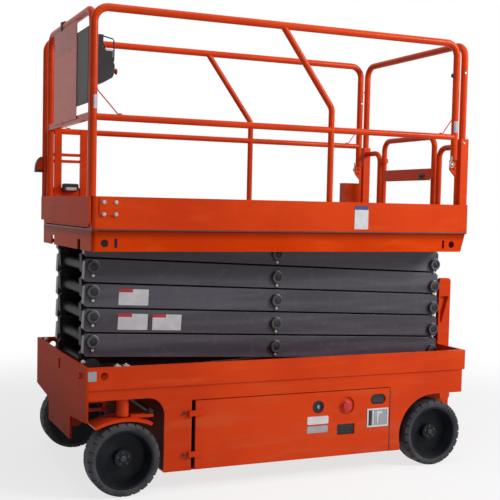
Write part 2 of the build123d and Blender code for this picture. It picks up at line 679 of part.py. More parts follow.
# ================================================================ wheels
WHEELS = [("fl", FRONT_AXLE_X, 1), ("fr", FRONT_AXLE_X, -1), ("rl", REAR_AXLE_X, 1), ("rr", REAR_AXLE_X, -1)]
LIP_Y = WHEEL_OUT_Y - RIM_INSET
WEB_Y = LIP_Y - RIM_DISH_DEPTH
BACK_Y = WHEEL_IN_Y + RIM_INSET
HUB_Y = WEB_Y + HUB_H
CAP_Y = HUB_Y - HUB_CAP_T
# half section of the turned rim: bore, raised hub, flat web, tapered dish and lip
RIM_SECTION = [
    # distance from the middle of the machine, radius
    (BACK_Y, STUB_R + RUN_FIT),
    (CAP_Y, STUB_R + RUN_FIT),
    (CAP_Y, HUB_R),
    (WEB_Y, HUB_R + HUB_FLARE),
    (WEB_Y, RIM_R - RIM_LIP - RIM_DISH_TAPER),
    (LIP_Y, RIM_R - RIM_LIP),
    (LIP_Y, RIM_R),
    (BACK_Y, RIM_R),
]
for label, axle_x, side in WHEELS:
    with BuildPart() as tyre:
        y0, y1 = span(side, WHEEL_IN_Y, WHEEL_OUT_Y)
        rod_y(axle_x, WHEEL_R, WHEEL_R, y0, y1)
        chamfer(tyre.edges().filter_by(GeomType.CIRCLE), TYRE_SHOULDER)
        rod_y(axle_x, WHEEL_R, RIM_R + GLUE_GAP, y0, y1, Mode.SUBTRACT)
    save(tyre.part, "tyre_" + label)
    with BuildPart() as rim:
        with BuildSketch(Plane.YZ.offset(axle_x)) as profile:
            with BuildLine():
                Polyline(*[(side * y, WHEEL_R + radius) for y, radius in RIM_SECTION], close=True)
            make_face()
        revolve(profile.sketch, axis=Axis((axle_x, 0, WHEEL_R), (0, 1, 0)))
        y0, y1 = span(side, CAP_Y, HUB_Y)
        rod_y(axle_x, WHEEL_R, HUB_R, y0, y1)
    save(rim.part, "rim_" + label)


# ================================================================ scissor arms
def beam(x0, z0, x1, z1, shift0, shift1, y0, y1):
    """Box beam from a front pin to a rear pin, its centreline shifted up or down at each pin."""
    a = (x0, z0 + shift0)
    b = (x1, z1 + shift1)
    length = hypot(b[0] - a[0], b[1] - a[1])
    ux = (b[0] - a[0]) / length
    uz = (b[1] - a[1]) / length
    nx = -uz
    nz = ux
    h = BEAM_H / 2.0
    cut = BEAM_CUT
    front = -BEAM_FRONT_END
    rear = length + BEAM_REAR_END
    outline = [
        (front, cut - h),
        (front, h - cut),
        (front + cut, h),
        (rear - cut, h),
        (rear, h - cut),
        (rear, cut - h),
        (rear - cut, -h),
        (front + cut, -h),
    ]
    side_plate([(a[0] + u * ux + v * nx, a[1] + u * uz + v * nz) for u, v in outline], y0, y1)


def pin_z(level):
    return BASE_PIN_Z + PITCH * level


def arm_point(level, along, rise):
    """Point on the pin line of an inner arm, along from its front pin and rise square to it."""
    x = PIVOT_X - along * cos(REST_ANGLE) + rise * sin(REST_ANGLE)
    z = pin_z(level - 1) + along * sin(REST_ANGLE) + rise * cos(REST_ANGLE)
    return x, z


for level in range(1, LEVELS + 1):
    low = pin_z(level - 1)
    high = pin_z(level)
    mid = (low + high) / 2.0
    with BuildPart() as inner:
        for _, side in SIDES:
            y0, y1 = span(side, INNER_Y0, INNER_Y1)
            beam(PIVOT_X, low, SLIDE_X, high, PIN_OFFSET, -PIN_OFFSET, y0, y1)
        rod_y(PIVOT_X, low, TUBE_R, -INNER_Y0, INNER_Y0)
        rod_y(SLIDE_X, high, TUBE_R if level < LEVELS else PIN_R, -INNER_Y0, INNER_Y0)
        if level not in (2, 3):
            rod_y(CENTRE_X, mid, TUBE_R, -INNER_Y0, INNER_Y0)
        if level == 2:
            # tube that carries the barrel eye
            eye_x, eye_z = arm_point(2, BARREL_EYE_S, 0.0)
            rod_y(eye_x, eye_z, EYE_TUBE_R, -INNER_Y0, INNER_Y0)
        if level == 3:
            # tube with two lugs and the pin of the rod eye
            tube_x, tube_z = arm_point(3, ROD_EYE_S, ROD_TUBE_RISE)
            eye_x, eye_z = arm_point(3, ROD_EYE_S, -ROD_EYE_DROP)
            lug_y = EYE_HALF_W + LUG_GAP
            rod_y(tube_x, tube_z, EYE_TUBE_R, -INNER_Y0, INNER_Y0)
            rod_y(eye_x, eye_z, ROD_PIN_R, -lug_y, lug_y)
            for _, side in SIDES:
                y0, y1 = span(side, lug_y, lug_y + LUG_T)
                block(eye_x - LUG_HALF_W, eye_x + LUG_HALF_W, y0, y1, eye_z, tube_z)
                rod_y(eye_x, eye_z, LUG_HALF_W, y0, y1)
        for _, side in SIDES:
            y0, y1 = span(side, INNER_Y0, INNER_Y1)
            rod_y(PIVOT_X, low, PIN_R + RUN_FIT, y0, y1, Mode.SUBTRACT)
            rod_y(CENTRE_X, mid, PIN_R + RUN_FIT, y0, y1, Mode.SUBTRACT)
            if level < LEVELS:
                rod_y(SLIDE_X, high, PIN_R + RUN_FIT, y0, y1, Mode.SUBTRACT)
    save(inner.part, "inner_arms_" + str(level))

    with BuildPart() as outer:
        pins = [(PIVOT_X, high, -1), (CENTRE_X, mid, -1), (SLIDE_X, low, 1)]
        for _, side in SIDES:
            y0, y1 = span(side, OUTER_Y0, OUTER_Y1)
            beam(PIVOT_X, high, SLIDE_X, low, -PIN_OFFSET, PIN_OFFSET, y0, y1)
            y0, y1 = span(side, PIN_TIP_Y, OUTER_Y0)
            rod_y(PIVOT_X, high, PIN_R, y0, y1)
            rod_y(CENTRE_X, mid, PIN_R, y0, y1)
            rod_y(SLIDE_X, low, PIN_R, y0, y1)
            # bosses with a hollow face, each with its keeper tab
            for px, pz, _ in pins:
                y0, y1 = span(side, OUTER_Y1, OUTER_Y1 + BOSS_H)
                rod_y(px, pz, BOSS_R, y0, y1)
                y0, y1 = span(side, OUTER_Y1 + BOSS_H - BOSS_HOLLOW, OUTER_Y1 + BOSS_H)
                rod_y(px, pz, BOSS_HOLLOW_R, y0, y1, Mode.SUBTRACT)
        if level == 1:
            rod_y(SLIDE_X, low, PIN_R, -PIN_TIP_Y, PIN_TIP_Y)
    save(outer.part, "outer_arms_" + str(level))

for label, pz in (("slide_blocks_lower", pin_z(0)), ("slide_blocks_upper", pin_z(LEVELS))):
    with BuildPart() as blocks:
        for _, side in SIDES:
            y0, y1 = span(side, BLOCK_Y0, BLOCK_Y1)
            half = BLOCK_L / 2.0
            block(SLIDE_X - half, SLIDE_X + half, y0, y1, pz - BLOCK_H / 2.0, pz + BLOCK_H / 2.0)
            rod_y(SLIDE_X, pz, PIN_R + RUN_FIT, y0, y1, Mode.SUBTRACT)
    save(blocks.part, label)

# ================================================================ lift cylinder
barrel_eye_x, barrel_eye_z = arm_point(2, BARREL_EYE_S, 0.0)
rod_eye_x, rod_eye_z = arm_point(3, ROD_EYE_S, -ROD_EYE_DROP)
CYLINDER_L = hypot(rod_eye_x - barrel_eye_x, rod_eye_z - barrel_eye_z)
CYLINDER_ANGLE = atan2(rod_eye_z - barrel_eye_z, barrel_eye_x - rod_eye_x)
# the cylinder's own plane stands on the barrel eye and faces the rod eye
cylinder_plane = Plane(
    origin=(barrel_eye_x, 0, barrel_eye_z),
    x_dir=(0, 1, 0),
    z_dir=(-cos(CYLINDER_ANGLE), 0, sin(CYLINDER_ANGLE)),
)
BARREL_START = EYE_TUBE_R
BARREL_END = CYLINDER_L - ROD_SHOWN
BORE_START = BARREL_EYE_R * 2.0
ROD_START = BORE_START + 10.0
with BuildPart() as lift_barrel:
    with BuildSketch(cylinder_plane.offset(BARREL_START)):
        Circle(BARREL_R)
    extrude(amount=BARREL_END - BARREL_START)
    with BuildSketch(cylinder_plane.offset(BARREL_END - GLAND_L)):
        Circle(BARREL_R + GLAND_PROUD)
    extrude(amount=GLAND_L)
    rod_y(barrel_eye_x, barrel_eye_z, BARREL_EYE_R, -EYE_HALF_W, EYE_HALF_W)
    rod_y(barrel_eye_x, barrel_eye_z, EYE_TUBE_R + RUN_FIT, -BARREL_R, BARREL_R, Mode.SUBTRACT)
    with BuildSketch(cylinder_plane.offset(BORE_START)):
        Circle(ROD_R + RUN_FIT)
    extrude(amount=BARREL_END, mode=Mode.SUBTRACT)
save(lift_barrel.part, "lift_barrel")

with BuildPart() as lift_rod:
    with BuildSketch(cylinder_plane.offset(ROD_START)):
        Circle(ROD_R)
    extrude(amount=CYLINDER_L - ROD_START)
    rod_y(rod_eye_x, rod_eye_z, ROD_EYE_R, -EYE_HALF_W, EYE_HALF_W)
    rod_y(rod_eye_x, rod_eye_z, ROD_PIN_R + OPEN_PIN_GAP, -EYE_HALF_W, EYE_HALF_W, Mode.SUBTRACT)
save(lift_rod.part, "lift_rod")

# ================================================================ platform
with BuildPart() as platform_frame:
    for _, side in SIDES:
        y0, y1 = span(side, FRAME_Y - SHEET_T, FRAME_Y)
        side_plate(
            [
                (PLAT_FRONT_X - SHEET_T, FRAME_LOW_Z),
                (PLAT_FRONT_X - SHEET_T, FLOOR_LOW_Z),
                (PLAT_REAR_X + REAR_PLATE_T, FLOOR_LOW_Z),
                (PLAT_REAR_X + PLAT_REAR_SLANT, FRAME_LOW_Z),
            ],
            y0,
            y1,
        )
        # a round hole and an upright slot near each end
        for hole_x, step in ((FOOT_FRONT_X, -FOOT_SLOT_STEP), (FOOT_REAR_X, FOOT_SLOT_STEP)):
            rod_y(hole_x, FOOT_HOLE_Z, FOOT_HOLE_R, y0, y1, Mode.SUBTRACT)
            x0 = hole_x + step - FOOT_SLOT_W / 2.0
            z0 = FOOT_HOLE_Z - FOOT_SLOT_H / 2.0
            block(x0, x0 + FOOT_SLOT_W, y0, y1, z0, z0 + FOOT_SLOT_H, Mode.SUBTRACT)
        y0, y1 = span(side, FRAME_Y - FRAME_FLANGE, FRAME_Y - SHEET_T)
        x0 = PLAT_REAR_X + PLAT_REAR_SLANT
        block(x0, PLAT_FRONT_X - SHEET_T, y0, y1, FRAME_LOW_Z, FRAME_LOW_Z + SHEET_T)
        # corner piece that carries the line of the corner post down
        y0, y1 = span(side, FRAME_Y - CORNER_R, TOE_Y)
        block(CORNER_X, PLAT_FRONT_X, y0, y1, FRAME_LOW_Z, FLOOR_LOW_Z)
    block(PLAT_FRONT_X - SHEET_T, PLAT_FRONT_X, -FRAME_Y, FRAME_Y, FRAME_LOW_Z, FLOOR_LOW_Z)
    for _, side in SIDES:
        # notch that the arm end swings through
        y0, y1 = span(side, OUTER_Y0 - BEAM_GAP, OUTER_Y1 + BEAM_GAP)
        notch_z = pin_z(LEVELS) + NOTCH_TOP_GAP
        block(PLAT_FRONT_X - SHEET_T, PLAT_FRONT_X, y0, y1, FRAME_LOW_Z, notch_z, Mode.SUBTRACT)
    for _, side in SIDES:
        # slanted rear plate, open in the middle where the arms slide
        y0, y1 = span(side, OUTER_Y0, FRAME_Y - SHEET_T)
        side_plate(
            [
                (PLAT_REAR_X + REAR_PLATE_T, FLOOR_LOW_Z),
                (PLAT_REAR_X + REAR_PLATE_T * 2.0, FLOOR_LOW_Z),
                (PLAT_REAR_X + PLAT_REAR_SLANT + REAR_PLATE_T, FRAME_LOW_Z),
                (PLAT_REAR_X + PLAT_REAR_SLANT, FRAME_LOW_Z),
            ],
            y0,
            y1,
        )
    round_front_corners(platform_frame)
save(platform_frame.part, "platform_frame")

# lugs of the top front pins and channels of the top sliding ends, under the floor
with BuildPart() as platform_channels:
    top = pin_z(LEVELS)
    half = BLOCK_H / 2.0 + SLIDE_GAP
    x0 = SLIDE_X - BLOCK_L / 2.0 - 4.0
    for _, side in SIDES:
        y0, y1 = span(side, INNER_Y0, INNER_Y1)
        rod_y(PIVOT_X, top, LUG_R, y0, y1)
        block(PIVOT_X - LUG_R, PIVOT_X + LUG_R, y0, y1, top, FLOOR_LOW_Z)
        rod_y(PIVOT_X, top, PIN_R + RUN_FIT, y0, y1, Mode.SUBTRACT)
        y0, y1 = span(side, BLOCK_Y0 - SLIDE_GAP, BLOCK_Y1)
        block(x0, CHANNEL_END_X, y0, y1, top + half, FLOOR_LOW_Z)
        block(x0, CHANNEL_END_X, y0, y1, top - half - CHANNEL_T, top - half)
        y0, y1 = span(side, BLOCK_Y0 - SLIDE_GAP - CHANNEL_T, BLOCK_Y0 - SLIDE_GAP)
        block(x0, CHANNEL_END_X, y0, y1, top - half - CHANNEL_T, FLOOR_LOW_Z)
        rod_y(SLIDE_X, top, SLOT_R, y0, y1, Mode.SUBTRACT)
        block(SLIDE_X, SLIDE_END_X, y0, y1, top - SLOT_R, top + SLOT_R, Mode.SUBTRACT)
        rod_y(SLIDE_END_X, top, SLOT_R, y0, y1, Mode.SUBTRACT)
save(platform_channels.part, "platform_channels")

with BuildPart() as platform_floor:
    block(PLAT_REAR_X, PLAT_FRONT_X, -TOE_Y, TOE_Y, FLOOR_LOW_Z, FLOOR_Z)
    round_front_corners(platform_floor)
save(platform_floor.part, "platform_floor")

with BuildPart() as toe_boards:
    for _, side in SIDES:
        y0, y1 = span(side, TOE_Y - TOE_T, TOE_Y)
        block(HOOP_X + HOOP_FOOT_W, CORNER_X, y0, y1, FLOOR_Z, TOE_TOP_Z)
        # bolted plate near the front end
        plate_x = CORNER_X - BOLT_PLATE_STEP
        plate_z = TOE_TOP_Z - BOLT_PLATE_DROP
        y0, y1 = span(side, TOE_Y, TOE_Y + BOLT_PLATE_T)
        block(plate_x - BOLT_PLATE_W, plate_x, y0, y1, plate_z - BOLT_PLATE_H, plate_z)
        # rear return, from the quarter loop to the corner post
        edge = GATE_Y1 if side > 0 else -GATE_Y0
        y0, y1 = span(side, edge + LOOP_GAP - GATE_R, TOE_Y)
        block(PLAT_REAR_X, PLAT_REAR_X + TOE_T, y0, y1, FLOOR_Z, TOE_TOP_Z)
save(toe_boards.part, "toe_boards")

for label, side in SIDES:
    with BuildPart() as side_rail:
        rail_y = side * RAIL_Y
        # corner post of square tube under the round rail
        y0, y1 = span(side, TOE_Y - CORNER_W, TOE_Y)
        block(CORNER_X, PLAT_FRONT_X, y0, y1, FLOOR_Z, TOE_TOP_Z)
        round_front_corners(side_rail)
        bent_rod(
            [
                (SIDE_FRONT_X, rail_y, TOE_TOP_Z),
                (SIDE_FRONT_X, rail_y, RAIL_TOP_Z),
                (SIDE_REAR_X, rail_y, RAIL_TOP_Z),
                (SIDE_REAR_X, rail_y, SIDE_REAR_LOW_Z),
            ],
            RAIL_BEND_R,
            RAIL_R,
        )
        # middle post, bent forward to meet the top rail
        bent_rod(
            [
                (POST_TOP_X, rail_y, RAIL_TOP_Z),
                (POST_LOW_X, rail_y, POST_KNEE_Z),
                (POST_LOW_X, rail_y, FLOOR_Z),
            ],
            POST_BEND_R,
            MID_RAIL_R,
        )
        rod_x(rail_y, RAIL_MID_Z, MID_RAIL_R, SIDE_REAR_X, SIDE_FRONT_X)
    save(side_rail.part, "side_rail_" + label)

with BuildPart() as rear_hoop:
    foot_z = FLOOR_Z + HOOP_FOOT_H
    bent_rod(
        [
            (HOOP_X, -RAIL_Y, foot_z),
            (HOOP_X, -RAIL_Y, RAIL_TOP_Z),
            (HOOP_X, RAIL_Y, RAIL_TOP_Z),
            (HOOP_X, RAIL_Y, foot_z),
        ],
        RAIL_BEND_R,
        RAIL_R,
    )
    for _, side in SIDES:
        # square lower post and the quarter loop beside the gate
        y0, y1 = span(side, RAIL_Y - RAIL_R, TOE_Y)
        block(PLAT_REAR_X + TOE_T, HOOP_X + HOOP_FOOT_W, y0, y1, FLOOR_Z, foot_z)
        loop_y = side * ((GATE_Y1 if side > 0 else -GATE_Y0) + LOOP_GAP)
        bent_rod(
            [(HOOP_X, side * RAIL_Y, LOOP_TOP_Z), (HOOP_X, loop_y, LOOP_TOP_Z), (HOOP_X, loop_y, FLOOR_Z)],
            GATE_BEND_R,
            GATE_R,
        )
    # hinge straps that hold the gate's right leg
    for low in (STRAP_LOW_Z, STRAP_HIGH_Z):
        half = STRAP_T / 2.0
        leg_y = GATE_Y0 - GATE_R - RUN_FIT
        block(HOOP_X - half, HOOP_X + half, GATE_Y0 - LOOP_GAP, leg_y, low, low + STRAP_H)
        rod_z(HOOP_X, GATE_Y0, GATE_R + STRAP_WALL, low, low + STRAP_H)
        rod_z(HOOP_X, GATE_Y0, GATE_R + RUN_FIT, low, low + STRAP_H, Mode.SUBTRACT)
save(rear_hoop.part, "rear_hoop")

# kinked brackets that carry the rear ends of the side rails, and the outlet box beside one of them
with BuildPart() as rail_brackets:
    for _, side in SIDES:
        y0, y1 = span(side, RAIL_Y - BRACKET_T / 2.0, RAIL_Y + BRACKET_T / 2.0)
        foot_x = HOOP_X + HOOP_FOOT_W
        ear_x = SIDE_REAR_X + RAIL_R + BRACKET_LAP
        side_plate(
            [
                (foot_x, SIDE_REAR_LOW_Z),
                (ear_x, SIDE_REAR_LOW_Z),
                (ear_x, SIDE_REAR_LOW_Z - BRACKET_EAR_H),
                (foot_x + BRACKET_NECK_W, SIDE_REAR_LOW_Z - BRACKET_NECK_H),
                (foot_x + BRACKET_NECK_W, FLOOR_Z),
                (foot_x, FLOOR_Z),
            ],
            y0,
            y1,
        )
    outlet_y = TOE_T - TOE_Y
    block(OUTLET_X, OUTLET_X + OUTLET_L, outlet_y, outlet_y + OUTLET_W, FLOOR_Z, OUTLET_TOP_Z)
save(rail_brackets.part, "rail_brackets")

with BuildPart() as gate:
    bent_rod(
        [
            (HOOP_X, GATE_Y0, GATE_LOW_Z),
            (HOOP_X, GATE_Y0, GATE_TOP_Z),
            (HOOP_X, GATE_Y1, GATE_TOP_Z),
            (HOOP_X, GATE_Y1, GATE_LOW_Z),
        ],
        GATE_BEND_R,
        GATE_R,
    )
    bar_half = GATE_BAR_H / 2.0
    bar_x = GATE_BAR_T / 2.0
    block(HOOP_X - bar_x, HOOP_X + bar_x, GATE_Y0, GATE_Y1, GATE_BAR_Z - bar_half, GATE_BAR_Z + bar_half)
save(gate.part, "gate")

# ================================================================ roll-out deck
with BuildPart() as deck_floor:
    toe_x = DECK_FRONT_X - TOE_T
    block(DECK_REAR_X, toe_x, -DECK_Y, DECK_Y, DECK_Z, DECK_Z + DECK_T)
    block(toe_x, DECK_FRONT_X, -FRAME_Y, FRAME_Y, DECK_TOE_LOW_Z, DECK_TOE_TOP_Z)
    block(toe_x - DECK_SILL_L, toe_x, -DECK_Y, DECK_Y, DECK_Z + DECK_T, DECK_SILL_TOP_Z)
    for _, side in SIDES:
        # runners on the floor and low side lips
        y0, y1 = span(side, DECK_Y - DECK_RUNNER_W, DECK_Y)
        block(DECK_REAR_X, PLAT_FRONT_X, y0, y1, FLOOR_Z + SEAT_GAP, DECK_Z)
        y0, y1 = span(side, DECK_Y - DECK_LIP_T, DECK_Y)
        block(DECK_REAR_X, toe_x - DECK_SILL_L, y0, y1, DECK_Z + DECK_T, DECK_Z + DECK_LIP_H)
save(deck_floor.part, "deck_floor")

with BuildPart() as deck_rail:
    bent_rod(
        [
            (DECK_POST_X, -DECK_POST_Y, DECK_SILL_TOP_Z),
            (DECK_POST_X, -DECK_POST_Y, DECK_TOP_Z),
            (DECK_POST_X, DECK_POST_Y, DECK_TOP_Z),
            (DECK_POST_X, DECK_POST_Y, DECK_SILL_TOP_Z),
        ],
        RAIL_BEND_R,
        RAIL_R,
    )
    x0 = DECK_POST_X - DECK_BAR_W / 2.0
    x1 = DECK_POST_X + DECK_BAR_W / 2.0
    z0 = DECK_BAR_Z - DECK_BAR_H / 2.0
    block(x0, x1, -DECK_POST_Y, DECK_POST_Y, z0, z0 + DECK_BAR_H)
    # short frame behind the right post, of two flat posts and three bars
    half = STAND_POST_T / 2.0
    for post_x in (STAND_NEAR_X, STAND_FAR_X):
        x0 = post_x - STAND_POST_W / 2.0
        block(x0, x0 + STAND_POST_W, -DECK_POST_Y - half, half - DECK_POST_Y, DECK_Z + DECK_T, STAND_TOP_Z)
    half = STAND_BAR_T / 2.0
    for drop in STAND_BAR_DROPS:
        z0 = STAND_TOP_Z - drop - STAND_BAR_H / 2.0
        block(STAND_FAR_X, DECK_POST_X, -DECK_POST_Y - half, half - DECK_POST_Y, z0, z0 + STAND_BAR_H)
    # kick plate between the posts
    z1 = FLOOR_Z + STAND_KICK_H
    block(STAND_FAR_X, DECK_POST_X, -DECK_POST_Y - half, half - DECK_POST_Y, DECK_SILL_TOP_Z, z1)
save(deck_rail.part, "deck_rail")

with BuildPart() as deck_panel:
    panel_x = DECK_POST_X + RAIL_R
    block(panel_x - PANEL_T, panel_x, PANEL_Y0, PANEL_Y1, DECK_BAR_Z, DECK_TOP_Z - RAIL_R)
    # fold along the deck bar
    x0 = DECK_POST_X + DECK_BAR_W / 2.0
    block(x0, panel_x, PANEL_Y0, PANEL_Y1, DECK_BAR_Z, DECK_BAR_Z + DECK_BAR_H / 2.0)
save(deck_panel.part, "deck_panel")

# control box on a back plate that overlaps the panel
with BuildPart() as control_box:
    plate_x = DECK_POST_X + RAIL_R - PANEL_T
    back_x = plate_x - BOX_PLATE_T
    block(back_x, plate_x, BOX_PLATE_Y0, BOX_Y1, BOX_PLATE_LOW_Z, BOX_PLATE_TOP_Z)
    side_plate(
        [
            (back_x, BOX_LOW_Z + BOX_BACK_RISE),
            (back_x, BOX_LOW_Z + BOX_H),
            (plate_x - BOX_TOP_DEPTH, BOX_LOW_Z + BOX_H),
            (plate_x - BOX_TOP_DEPTH, BOX_LOW_Z + BOX_SHELF_H + BOX_SHELF_RISE),
            (plate_x - BOX_DEPTH + BOX_SHELF_CUT, BOX_LOW_Z + BOX_SHELF_H),
            (plate_x - BOX_DEPTH, BOX_LOW_Z + BOX_SHELF_H - BOX_SHELF_CUT),
            (plate_x - BOX_DEPTH, BOX_LOW_Z + BOX_LIP_RISE),
            (plate_x - BOX_CHIN_DEPTH, BOX_LOW_Z),
        ],
        BOX_Y0,
        BOX_Y1,
    )
save(control_box.part, "control_box")
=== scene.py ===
# %% [markdown]
# # Scissor lift
# The construction model gives every plate, tube, arm and wheel its place and size, in metres, with
# the floor at z = 0, the steered wheels toward +x and the left side toward +y. This notebook gives
# those parts their paint, rubber and metal, and adds what is too fine for the construction model:
# tyre tread, bolts, keeper plates, labels, controls, safety pins and the tread of the floor.

# %% Load the frame
import json
import math

import bmesh
import bpy
from mathutils import Matrix, Vector


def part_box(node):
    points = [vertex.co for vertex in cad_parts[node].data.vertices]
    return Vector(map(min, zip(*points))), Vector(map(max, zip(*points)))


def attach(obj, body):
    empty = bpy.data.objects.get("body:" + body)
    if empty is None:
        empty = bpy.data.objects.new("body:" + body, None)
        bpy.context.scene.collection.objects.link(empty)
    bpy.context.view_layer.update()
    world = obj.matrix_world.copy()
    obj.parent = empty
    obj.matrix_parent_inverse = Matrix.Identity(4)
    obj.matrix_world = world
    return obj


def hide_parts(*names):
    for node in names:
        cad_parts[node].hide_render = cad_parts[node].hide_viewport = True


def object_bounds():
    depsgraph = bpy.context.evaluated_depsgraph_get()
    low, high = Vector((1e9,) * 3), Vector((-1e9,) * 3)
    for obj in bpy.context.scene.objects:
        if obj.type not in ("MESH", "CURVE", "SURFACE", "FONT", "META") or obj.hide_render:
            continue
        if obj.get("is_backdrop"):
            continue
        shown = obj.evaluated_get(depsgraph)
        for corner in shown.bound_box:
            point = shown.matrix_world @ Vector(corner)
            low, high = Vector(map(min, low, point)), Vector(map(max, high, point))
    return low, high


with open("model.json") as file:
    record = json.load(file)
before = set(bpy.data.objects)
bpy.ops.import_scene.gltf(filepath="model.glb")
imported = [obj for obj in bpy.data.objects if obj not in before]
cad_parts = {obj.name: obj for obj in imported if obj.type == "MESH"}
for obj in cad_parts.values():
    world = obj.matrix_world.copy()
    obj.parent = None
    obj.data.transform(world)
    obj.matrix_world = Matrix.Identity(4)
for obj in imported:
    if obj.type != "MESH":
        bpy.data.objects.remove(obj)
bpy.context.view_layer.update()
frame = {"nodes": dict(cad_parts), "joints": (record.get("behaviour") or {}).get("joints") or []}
NODES = frame["nodes"]
JOINTS = {joint["name"]: joint for joint in frame["joints"]}
LEVELS = 5
SKIN = 0.0003
LEFT = (0, 1, 0)
UP = (0, 0, 1)
FRONT = (1, 0, 0)
REAR = (-1, 0, 0)
SIDES = (("left", 1), ("right", -1))
WHEELS = (("fl", 1), ("fr", -1), ("rl", 1), ("rr", -1))

# %% [markdown]
# ## A small language for finishes
# A finish is a graph of nodes, and wiring it by hand hides the idea. One class wraps an output
# socket, so that Python's own operators add the Math nodes: `dirt * 0.4 + 0.1` reads as it is meant.
# Colours go through Mix nodes, since a Math node would turn them grey. Every other node comes from
# one method, which takes the node's type, its settings and the values or links of its sockets.


# %% Signals and finishes
class Signal:
    """One output socket of a finish. Operators on it add Math nodes to the same finish."""

    def __init__(self, finish, socket):
        self.finish = finish
        self.socket = socket

    def math(self, operation, *others):
        settings = {"operation": operation}
        return self.finish.add("ShaderNodeMath", settings, dict(enumerate((self, *others))))

    def __add__(self, other):
        return self.math("ADD", other)

    def __mul__(self, other):
        return self.math("MULTIPLY", other)

    def __sub__(self, other):
        return self.math("SUBTRACT", other)

    def __rsub__(self, other):
        return self.finish.add("ShaderNodeMath", {"operation": "SUBTRACT"}, {0: other, 1: self})

    __radd__ = __add__
    __rmul__ = __mul__

    def clamped(self):
        return self.finish.add("ShaderNodeClamp", {}, {0: self})

    def between(self, low, high):
        """0 below low, 1 above high, and a smooth climb between them."""
        settings = {"interpolation_type": "SMOOTHSTEP"}
        return self.finish.add("ShaderNodeMapRange", settings, {0: self, 1: low, 2: high, 3: 0.0, 4: 1.0})


class Graph:
    """A tree of nodes, of a material or of the world."""

    def __init__(self, tree):
        self.tree = tree

    def add(self, kind, settings, inputs, output=0):
        node = self.tree.nodes.new(kind)
        for key, value in settings.items():
            setattr(node, key, value)
        for key, value in inputs.items():
            self.feed(node.inputs[key], value)
        return Signal(self, node.outputs[output])

    def feed(self, socket, value):
        if isinstance(value, Signal):
            self.tree.links.new(value.socket, socket)
        elif isinstance(value, tuple) and len(value) == 3 and socket.type == "RGBA":
            socket.default_value = (*value, 1.0)
        else:
            socket.default_value = value

    def mix(self, factor, low, high):
        """Colour low where factor is 0, and colour high where it is 1."""
        node = self.tree.nodes.new("ShaderNodeMix")
        node.data_type = "RGBA"
        for key, value in (("Factor_Float", factor), ("A_Color", low), ("B_Color", high)):
            self.feed(next(s for s in node.inputs if s.identifier == key), value)
        return Signal(self, next(s for s in node.outputs if s.identifier == "Result_Color"))

    def vector_math(self, operation, *values, output="Value"):
        return self.add("ShaderNodeVectorMath", {"operation": operation}, dict(enumerate(values)), output)

    def surface(self, what):
        """Position or Normal of the point that is shaded."""
        return self.add("ShaderNodeNewGeometry", {}, {}, what)

    def upward(self, vector):
        return self.add("ShaderNodeSeparateXYZ", {}, {0: vector}, "Z")

    def seen(self):
        """1 for rays of the camera and of reflection and glass, and 0 for rays that light the machine."""
        path = self.add("ShaderNodeLightPath", {}, {}, "Is Camera Ray")
        for ray in ("Is Glossy Ray", "Is Transmission Ray"):
            path = path.math("MAXIMUM", self.add("ShaderNodeLightPath", {}, {}, ray))
        return path


class Finish(Graph):
    """A material whose nodes are added by methods, ending in one Principled shader."""

    def __init__(self, name):
        self.material = bpy.data.materials.new(name)
        self.material.use_nodes = True
        super().__init__(self.material.node_tree)
        self.shader = self.tree.nodes["Principled BSDF"]
        self.place = self.add("ShaderNodeTexCoord", {}, {}, "Object")

    def noise(self, scale, detail=3.0, stretch=(1.0, 1.0, 1.0)):
        """Noise in object space, its grain scale per metre, longer along an axis whose stretch is under 1."""
        point = self.vector_math("MULTIPLY", self.place, stretch, output=0)
        return self.add("ShaderNodeTexNoise", {}, {"Vector": point, "Scale": scale, "Detail": detail})

    def height(self):
        """Height above the floor, in metres."""
        return self.upward(self.surface("Position"))

    def edges(self, radius):
        """The normal with its edges rounded, and a mask that is 1 along sharp edges."""
        rounded = self.add("ShaderNodeBevel", {"samples": 4}, {"Radius": radius})
        likeness = self.vector_math("DOT_PRODUCT", rounded, self.surface("Normal"))
        return rounded, (1.0 - likeness).between(0.01, 0.16)

    def set(self, **values):
        """Feeds the shader's sockets. A word's underscores stand for spaces."""
        for key, value in values.items():
            self.feed(self.shader.inputs[key.replace("_", " ")], value)

    def bump(self, amount, strength, distance, normal=None):
        inputs = {"Height": amount, "Strength": strength, "Distance": distance}
        if normal is not None:
            inputs["Normal"] = normal
        self.set(Normal=self.add("ShaderNodeBump", {}, inputs))


print("signals and finishes ready")

# %% [markdown]
# ## Paint
# The machine is stove-enamelled orange: half-glossy, with a slight orange-peel, a little chalking,
# dust that settles low down, and paler paint along rubbed edges. A Bevel node rounds the sharp edges
# of the plates for the light, and the difference between that rounded normal and the true one marks
# where an edge is, which is where paint wears first. Plates that face forward have less sheen.

# %% Orange enamel
# plain, rubbed pale, and deep where the coat is thick
ORANGE = ((0.66, 0.050, 0.003), (0.72, 0.078, 0.009), (0.58, 0.038, 0.002))
# a dark copy of the orange for the walls of the wheel bay: painted shade
SHADED_ORANGE = ((0.15, 0.012, 0.004), (0.19, 0.018, 0.006), (0.11, 0.009, 0.003))
DUST = (0.26, 0.12, 0.07)
# dark red that the shade masks mix in: painted shade on the frame and front plate, and also the panel's
# darker band and spot and the floor plate's upright faces
DARK_RED = (0.10, 0.010, 0.003)


